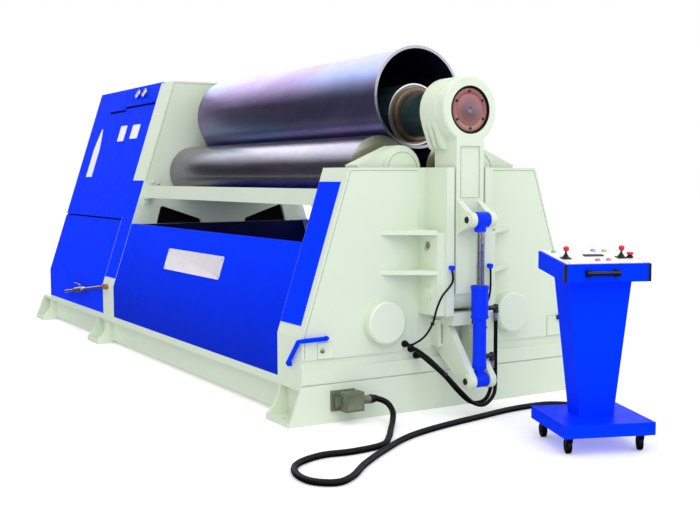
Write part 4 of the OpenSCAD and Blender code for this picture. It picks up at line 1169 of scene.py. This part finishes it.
def makeCasters(console, caster):
    # swivel plate with bolts, fork, tyre, hub and axle
    top, wheel, wide, back = caster["top"], caster["wheel"], caster["wide"], -caster["trail"]
    plate = addBlock("plate", (-0.036, -0.036, top - 0.006), (0.036, 0.036, top - hair))
    stepFace(plate, down, [(0.010, 0), (0, 0.003)])
    swivel = addBar("swivel", (0, 0, top - 0.016), (0, 0, top - 0.005), 0.024, 40)
    crown = addBlock("crown", (back - 0.016, -wide, wheel * 2 - 0.001), (0.020, wide, top - 0.012))
    parts = [plate, swivel, crown]
    for side in (-1, 1):
        y0, y1 = sorted((side * (wide / 2 + 0.003), side * (wide / 2 + 0.006)))
        leg = addBlock("leg", (-0.018, y0, top - 0.030), (0.018, y1, top - 0.012))
        chooseFaces(leg, down)
        drop = top - 0.030 - (wheel - 0.010)
        pushFaces((back, 0, -drop))
        bpy.ops.transform.resize(value=(0.6, 1, 1), center_override=(back, side * wide / 2, wheel))
        bpy.ops.object.mode_set(mode="OBJECT")
        parts.append(leg)
    axle = addBar("axle", (back, -wide / 2 - 0.010, wheel), (back, wide / 2 + 0.010, wheel), 0.006, 6)
    screw = makeBolt(0.005)
    corners = [aimed(corner.translation, down) for corner in fourCorners(0.028, 0.028, top - 0.006)]
    parts += [axle, spread(screw, "bolts", corners)]
    fork = joinPieces("fork", parts)
    tyre = addTube("tyre", (back, -wide / 2, wheel), (back, wide / 2, wheel), wheel, wheel * 0.62, 48)
    stepFace(tyre, (0, 1, 0), [(0.003, 0.0015)], both=True)
    hub = addTube("hub", (back, -wide / 2 - 0.001, wheel), (back, wide / 2 + 0.001, wheel),
                  wheel * 0.61, 0.0062, 48)
    stepFace(hub, (0, 1, 0), [(0.004, 0), (0.002, -0.003)], both=True)
    spots = []
    for turn, corner in zip(caster["turns"], fourCorners(*console["casterHalf"])):
        spots.append(consoleFrame @ corner @ Matrix.Rotation(math.radians(turn), 4, "Z"))
    dress(roundEdges(spread(fork, "casterForks", spots), 0.0008, 1), steelDark, "bright_steel")
    black = dress(roundEdges(spread(tyre, "casterTyres", spots), 0.002), rubberBlack, "black_rubber")
    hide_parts("console_casters")
    dress(roundEdges(spread(hub, "casterHubs", spots), 0.0008, 1), plasticBlack, "black_plastic")

makeCasters(console, caster)

# tip: radius of the relief where it meets the cable
glands = {
    "connector": {"place": (3.148, -0.6635, 0.142), "along": (0, 1, 0), "tip": 0.0217, "body": 0.0285},
    "console": {"place": (4.192, 0.183, 0.260), "along": (-0.936, 0.352, 0), "tip": 0.0207, "body": 0.0275},
}
reliefRings = 4   # steps of the taper

def makeGlands(glands, rings):
    # six-sided gland, screwed cap and tapered rubber relief where the cable leaves a housing
    bodies, reliefs = [], []
    for gland in glands.values():
        body = gland["body"]
        nut = addBar("nut", (0, 0, 0), (0, 0, 0.012), body + 0.003, 6)
        cap = addBar("cap", (0, 0, 0.011), (0, 0, 0.024), body, 32)
        stepFace(cap, up, [(0.003, 0.003)])
        relief = addBar("relief", (0, 0, 0.024), (0, 0, 0.028), body - 0.003, 32)
        taper = (body - 0.003 - gland["tip"]) / rings - 0.0006
        stepFace(relief, up, [(taper, 0.004), (0.0006, 0), (0, 0.002)] * rings)
        spot = aimed(gland["place"], gland["along"])
        for piece, group in ((joinPieces("gland", [nut, cap]), bodies), (relief, reliefs)):
            piece.data.transform(spot)
            group.append(piece)
    dress(roundEdges(joinPieces("cableGlands", bodies), 0.0008, 1), plasticBlack, "black_plastic")
    dress(roundEdges(joinPieces("cableReliefs", reliefs), 0.0005, 1), rubberBlack, "black_rubber")

makeGlands(glands, reliefRings)
print("console dressed")


# down: the drive end's line below the frame's top; cornerDown: where its corners are measured across
seams = {
    "edge": 0.019, "top": 1.601, "foot": 0.424, "post": 0.242, "thick": 0.0020,
    "drive": {"low": 1.53, "down": 0.018, "cornerDown": 0.02},
    "recess": {"half": 0.0765, "low": 1.424, "high": 1.756},
}

def makeSeams(seams):
    # fine joint lines: round the drop-end plate, along the frames and round the recess in the yoke
    x, edge, foot, top = endFace + hair, seams["edge"], seams["foot"], seams["top"]
    footY, topY = outline["half"] - edge, halfDepth(top) - edge
    lines = []
    for side in (-1, 1):
        lines.append([(x, side * footY, foot), (x, side * footY, outline["fold"] + 0.003),
                      (x, side * topY, top), (x, side * seams["post"], top)])
    x, low, high = driveFace + hair, seams["drive"]["low"], driveTop - seams["drive"]["down"]
    lowY, highY = halfDepth(low) - edge, halfDepth(driveTop - seams["drive"]["cornerDown"]) - edge
    for side in (-1, 1):
        lines.append([(x, side * lowY, low), (x, side * highY, high)])
    lines.append([(x, -highY, high), (x, highY, high)])
    makeBead("frameSeams", lines, seams["thick"], seamGreen)
    x, half, low, high = yokeFace + hair, *[seams["recess"][name] for name in ("half", "low", "high")]
    recess = [(x, -half, low), (x, -half, high), (x, half, high), (x, half, low), (x, -half, low)]
    makeBead("yokeSeams", [recess], seams["thick"], seamGreen, "yoke_body")

makeSeams(seams)

armRings = {
    "front": ("front_arms_body", -0.31), "rear": ("rear_arms_body", 0.31),
    "x": 2.9957, "z": 1.607, "radius": 0.116, "thick": 0.0026,
}

def circleLine(x, y, z, radius, count=72):
    turns = [2 * math.pi * i / count for i in range(count + 1)]
    return [(x, y + radius * math.cos(t), z + radius * math.sin(t)) for t in turns]


def makeArmRings(rings):
    # the joint between each bearing cap and its lobe
    for name in ("front", "rear"):
        body, y = rings[name]
        ring = circleLine(rings["x"], y, rings["z"], rings["radius"])
        makeBead(name + "ArmRing", [ring], rings["thick"], seamGreen, body)

makeArmRings(armRings)

welds = {
    "size": 0.0045, "cover": {"y": 0.52, "z": 0.62, "radius": 0.142},
    "post": {"half": 0.2365, "low": 0.44, "high": 1.615},
    "ribs": {"inner": 0.242, "outer": 0.530, "levels": [0.9265, 1.2175]},
}

def makeWelds(welds):
    # painted beads where the post, its ribs and the pivot covers meet the plate
    x, lines = endFace + 0.001, []
    post, ribs, cover = welds["post"], welds["ribs"], welds["cover"]
    for side in (-1, 1):
        lines.append([(x, side * post["half"], post["low"]), (x, side * post["half"], post["high"])])
        lines.append(circleLine(x, side * cover["y"], cover["z"], cover["radius"]))
        for level in ribs["levels"]:
            lines.append([(x, side * ribs["inner"], level), (x, side * ribs["outer"], level)])
    makeBead("plateWelds", lines, welds["size"], enamelPaint)

makeWelds(welds)

endPlates = {
    "front": {"low": (-1.000, 0.418), "high": (-0.885, 0.520), "thick": 0.006, "bolts": [(-0.966, 0.470)]},
    "rear": {"low": (0.888, 0.420), "high": (1.005, 0.559), "thick": 0.006, "bolts": []},
}
proximitySwitch = {"low": (0.972, 0.530), "high": (1.004, 0.562), "thick": 0.024}

def makeEndPlates(plates, switch):
    # small cover plates at the foot of the drop-end plate, and the switch beside the rear one
    bolts, x = [], endFace + 0.0006
    for name, plate in plates.items():
        (y0, z0), (y1, z1) = plate["low"], plate["high"]
        piece = addBlock("coverPlate-" + name, (endFace + hair, y0, z0), (endFace + plate["thick"], y1, z1))
        stepFace(piece, endward, [(0.004, 0), (0.001, -0.0012)])
        dress(roundEdges(piece, 0.0015), enamelPaint, "machine_paint")
        bolts += [aimed((endFace + plate["thick"] - 0.0012, y, z), (1, 0, 0)) for y, z in plate["bolts"]]
        seam = [(x, y0, z0), (x, y1, z0), (x, y1, z1), (x, y0, z1), (x, y0, z0)]
        makeBead("coverPlateSeam-" + name, [seam], 0.0022, seamGreen)
    dress(roundEdges(spread(makeBolt(0.012), "coverPlateBolts", bolts), 0.0008, 1), zinc, "bright_steel")
    piece = addBlock("proximitySwitch", (endFace + hair, *switch["low"]),
                     (endFace + switch["thick"], *switch["high"]))
    stepFace(piece, endward, [(0.004, 0.003), (0.004, 0), (0, 0.006)])
    dress(roundEdges(piece, 0.0015), plasticBlack, "black_plastic")

makeEndPlates(endPlates, proximitySwitch)

ringPlug = {"place": (3.183, -0.235, 1.116), "radius": 0.024}

def makeRingPlug(plug):
    # a screwed plug with a ring, on the front side of the post
    place, radius, out = Vector(plug["place"]), plug["radius"], Vector((0, -1, 0))
    body = addBar("ringPlug", place, place + out * 0.006, radius * 0.62, 32)
    stepFace(body, out, [(0.003, 0.002), (0.003, 0), (0, -0.003)])
    ring = addTube("ring", place + out * hair, place + out * 0.004, radius, radius * 0.72, 40)
    middle, half = place + Vector((0, -0.012, -0.020)), Vector((0.003, 0, 0))
    eye = addTube("eye", middle - half, middle + half, 0.0150, 0.0110, 32)
    dress(roundEdges(joinPieces("ringPlug", [body, ring, eye]), 0.0008, 1), zinc, "bright_steel")

makeRingPlug(ringPlug)

# inlet: where the cable goes in, from the housing's low corner; lid: its edges, across from the inlet
connector = {
    "flange": 0.022, "low": (-0.907, 0.078), "high": (-0.731, 0.208), "screwIn": (0.010, 0.008),
    "inlet": (0.244, 0.064), "lid": (-0.202, -0.066), "ribs": 4, "ribStep": 0.026, "pegs": 0.030,
}

def makeConnector(part):
    # flange screws, the lid, the housing's ribs and the two locking pegs
    (y0, z0), (y1, z1), (inY, inZ) = part["low"], part["high"], part["screwIn"]
    x = endFace + part["flange"]
    spots = [aimed((x, y, z), (1, 0, 0)) for y in (y0 + inY, y1 - inY) for z in (z0 + inZ, z1 - inZ)]
    dress(roundEdges(spread(makeCapScrew(0.006), "connectorScrews", spots), 0.0004, 1), zinc, "bright_steel")
    low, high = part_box("power_connector")
    x, y, z = high.x, low.y + part["inlet"][0], low.z + part["inlet"][1]
    lowY, highY = [y + reach for reach in part["lid"]]
    lid = addBlock("lid", (x - 0.0005, lowY + 0.008, z - 0.050), (x + 0.002, highY - 0.008, z + 0.050))
    pieces = [stepFace(lid, endward, [(0.004, 0), (0.002, -0.0012)])]
    for i in range(part["ribs"]):
        y = lowY + 0.030 + i * part["ribStep"]
        pieces.append(addBlock("rib", (x - 0.078, y, z + 0.0615), (x - 0.006, y + 0.008, z + 0.0645)))
    for side in (-1, 1):
        pegX, level = x - 0.045, z + side * part["pegs"]
        pieces.append(addBar("peg", (pegX, lowY - 0.008, level), (pegX, lowY + 0.001, level), 0.007, 20))
    dress(roundEdges(joinPieces("connectorLid", pieces), 0.001), castGrey, "connector_grey")

makeConnector(connector)

# each union: its share of the way along the pipe, length and radius; each step of the lever: out and up
valve = {
    "ends": 0.014, "stem": 0.40,
    "unions": [(0.27, 0.030, 0.026), (0.50, 0.030, 0.026), (0.985, 0.022, 0.022), (0.04, 0.018, 0.0185)],
    "lever": [(0.03, 0.006), (0.12, 0.0), (0.02, 0.002)],
}

def makeDrainDetails(valve):
    # six-sided unions, the stem and the short lever of the drain valve
    low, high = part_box("drain_valve")
    start = Vector((low.x, (low.y + high.y) / 2, low.z + valve["ends"]))
    end = Vector((high.x, (low.y + high.y) / 2, high.z - valve["ends"]))
    along = (end - start).normalized()
    parts = []
    for share, length, radius in valve["unions"]:
        middle, half = start.lerp(end, share), along * length / 2
        parts.append(addBar("union", middle - half, middle + half, radius, 6))
    dress(roundEdges(joinPieces("drainUnions", parts), 0.001), steelBright, "bright_steel")
    x, y, z = start.lerp(end, valve["stem"])
    stem = addBar("stem", (x, y, z + 0.020), (x, y, z + 0.044), 0.009, 24)
    cap = addBar("cap", (x, y, z + 0.040), (x, y, z + 0.048), 0.016, 6)
    lever = addBlock("lever", (x - 0.012, y - 0.008, z + 0.044), (x + 0.012, y + 0.008, z + 0.049))
    chooseFaces(lever, -endward)
    for step, rise in valve["lever"]:
        pushFaces((-step, 0, rise))
    bpy.ops.object.mode_set(mode="OBJECT")
    dress(roundEdges(joinPieces("drainLever", [stem, cap, lever]), 0.0012), zinc, "bright_steel")

makeDrainDetails(valve)
print("joints and fittings dressed")


# width of the broken edge and the pieces that have it
softEdges = {
    0.006: ["post", "yoke", "console_desk", "console_base", "console_pedestal", "plate_rails"],
    0.003: ["drop_end_outer_plate", "drop_end_inner_plate", "drive_end_inner_plate", "drive_end_outer_plate",
            "front_cover", "rear_cover", "cabinet_upper_door", "cabinet_lower_door", "blue_corner_panels",
            "pivot_covers", "front_swing_arms", "rear_swing_arms", "post_ribs", "drop_end_sill",
            "cylinder_bracket", "power_connector", "cylinder_barrel", "rod_clevis"],
    0.0015: ["rolled_shell", "front_roll", "rear_roll"],
}

def softenEdges(softEdges):
    # slightly broken edges on the plates and housings
    for width, names in softEdges.items():
        for name in names:
            bevel = nodes[name].modifiers.new("broken edges", "BEVEL")
            bevel.width = width
            bevel.segments = 2
            bevel.limit_method = "ANGLE"
            bevel.angle_limit = math.radians(42)
            bevel.harden_normals = True

softenEdges(softEdges)


# soft: light on the object, brightest from one direction; mirrored: the brightest that polished metal shows
studio = {
    "soft": 0.97, "softFrom": (0.75, -0.30, 0.58), "softLow": 0.42, "softSpan": 0.8,
    "mirrored": 2.9, "up": (0, 0.45, 0.89),
    "heights": [(0.0, 0.03), (0.10, 0.24), (0.22, 0.5), (0.36, 0.9), (0.5, 1.0), (0.72, 0.7), (1.0, 0.5)],
    "panel": {"toward": (0.80, -0.58, 0.10), "from": 0.80, "to": 0.97, "strength": 0.42},
}

def makeWorld(studio):
    world = bpy.data.worlds.new("studio")
    scene.world = world
    world.use_nodes = True
    tree = world.node_tree
    soft = tree.nodes["Background"]
    soft.inputs["Color"].default_value = (1, 1, 1, 1)
    white = addNode(tree, "ShaderNodeBackground", Color=(1, 1, 1, 1), Strength=1.0)
    # what polished metal mirrors: dim near the horizon, a bright band overhead, a panel in front
    mirrored = addNode(tree, "ShaderNodeBackground", Strength=studio["mirrored"])
    coords = addNode(tree, "ShaderNodeTexCoord")

    def lookingAlong(direction):
        # about 1 where the sky lies along a direction, -1 straight opposite
        dot = addNode(tree, "ShaderNodeVectorMath", operation="DOT_PRODUCT")
        dot.inputs[1].default_value = direction
        tree.links.new(coords.outputs["Generated"], dot.inputs[0])
        return dot.outputs["Value"]

    span, most = studio["softSpan"], studio["soft"]
    strength = mapRange(tree, lookingAlong(studio["softFrom"]), -span, span, most * studio["softLow"], most)
    tree.links.new(strength, soft.inputs["Strength"])
    band = ramp(tree, lookingAlong(studio["up"]), studio["heights"])
    panel = studio["panel"]
    shown = mapRange(tree, lookingAlong(panel["toward"]), panel["from"], panel["to"], 0, panel["strength"])
    tree.links.new(mix(tree, 1.0, band, shown, "ADD"), mirrored.inputs["Color"])
    ray = addNode(tree, "ShaderNodeLightPath")
    plain = calculate(tree, "MAXIMUM", ray.outputs["Is Camera Ray"], ray.outputs["Is Transmission Ray"])

    def oneOrOther(choice, first, second):
        node = addNode(tree, "ShaderNodeMixShader")
        for socket, value in zip(node.inputs, (choice, first, second)):
            tree.links.new(value, socket)
        return node.outputs[0]

    unseen = oneOrOther(ray.outputs["Is Glossy Ray"], soft.outputs[0], mirrored.outputs[0])
    sky = oneOrOther(plain, unseen, white.outputs[0])
    tree.links.new(sky, tree.nodes["World Output"].inputs["Surface"])

makeWorld(studio)


# the floor has three looks: to the camera (seen, whitened), to the machine (grey, lifted) and in polished
# metal (mirrored)
ground = {
    "size": 90, "down": 0.001, "grey": 0.80, "mirrored": (0.06, 0.06, 0.07, 1), "seen": 0.9,
    "whitened": 0.24, "lifted": 0.26,
}

def makeFloor(ground):
    # white plane that keeps the soft shadow under the machine
    clearSelection()
    bpy.ops.mesh.primitive_plane_add(size=ground["size"], location=(0, 0, -ground["down"]))
    floor = bpy.context.object
    floor.name = "floor"
    material, tree, shader = newMaterial("whiteFloor")
    shader.inputs["Roughness"].default_value = 0.9
    shader.inputs["Specular IOR Level"].default_value = 0.1
    ray = addNode(tree, "ShaderNodeLightPath")
    grey, seen = [(ground[name],) * 3 + (1,) for name in ("grey", "seen")]
    unseen = mix(tree, ray.outputs["Is Glossy Ray"], grey, ground["mirrored"])
    tree.links.new(mix(tree, ray.outputs["Is Camera Ray"], unseen, seen), shader.inputs["Base Color"])
    shader.inputs["Emission Color"].default_value = (1, 1, 1, 1)
    whitened = calculate(tree, "MULTIPLY", ray.outputs["Is Camera Ray"], ground["whitened"])
    # lights the foot of the frames
    lifted = calculate(tree, "MULTIPLY", ray.outputs["Is Diffuse Ray"], ground["lifted"])
    tree.links.new(calculate(tree, "ADD", whitened, lifted), shader.inputs["Emission Strength"])
    floor.data.materials.append(material)

makeFloor(ground)

# the fill is low and broad, for the foot of the end plate
lamps = {
    "key": {"place": (6.5, -2.6, 8.4), "target": (0.5, 0, 0.8), "strength": 0.84, "angle": 50,
            "mirrored": True},
    "fill": {"place": (9.5, -3.0, 1.3), "target": (0.5, 0, 0.9), "strength": 0.30, "angle": 70,
             "mirrored": False},
}

def makeLamps(lamps):
    for name, lamp in lamps.items():
        data = bpy.data.lights.new(name, "SUN")
        data.energy = lamp["strength"]
        data.angle = math.radians(lamp["angle"])
        light = bpy.data.objects.new(name, data)
        scene.collection.objects.link(light)
        light.location = lamp["place"]
        light.visible_glossy = lamp["mirrored"]
        aim = Vector(lamp["target"]) - Vector(lamp["place"])
        light.rotation_mode = "QUATERNION"
        light.rotation_quaternion = aim.to_track_quat("-Z", "Y")

makeLamps(lamps)


clearSelection()
print("scene finished")
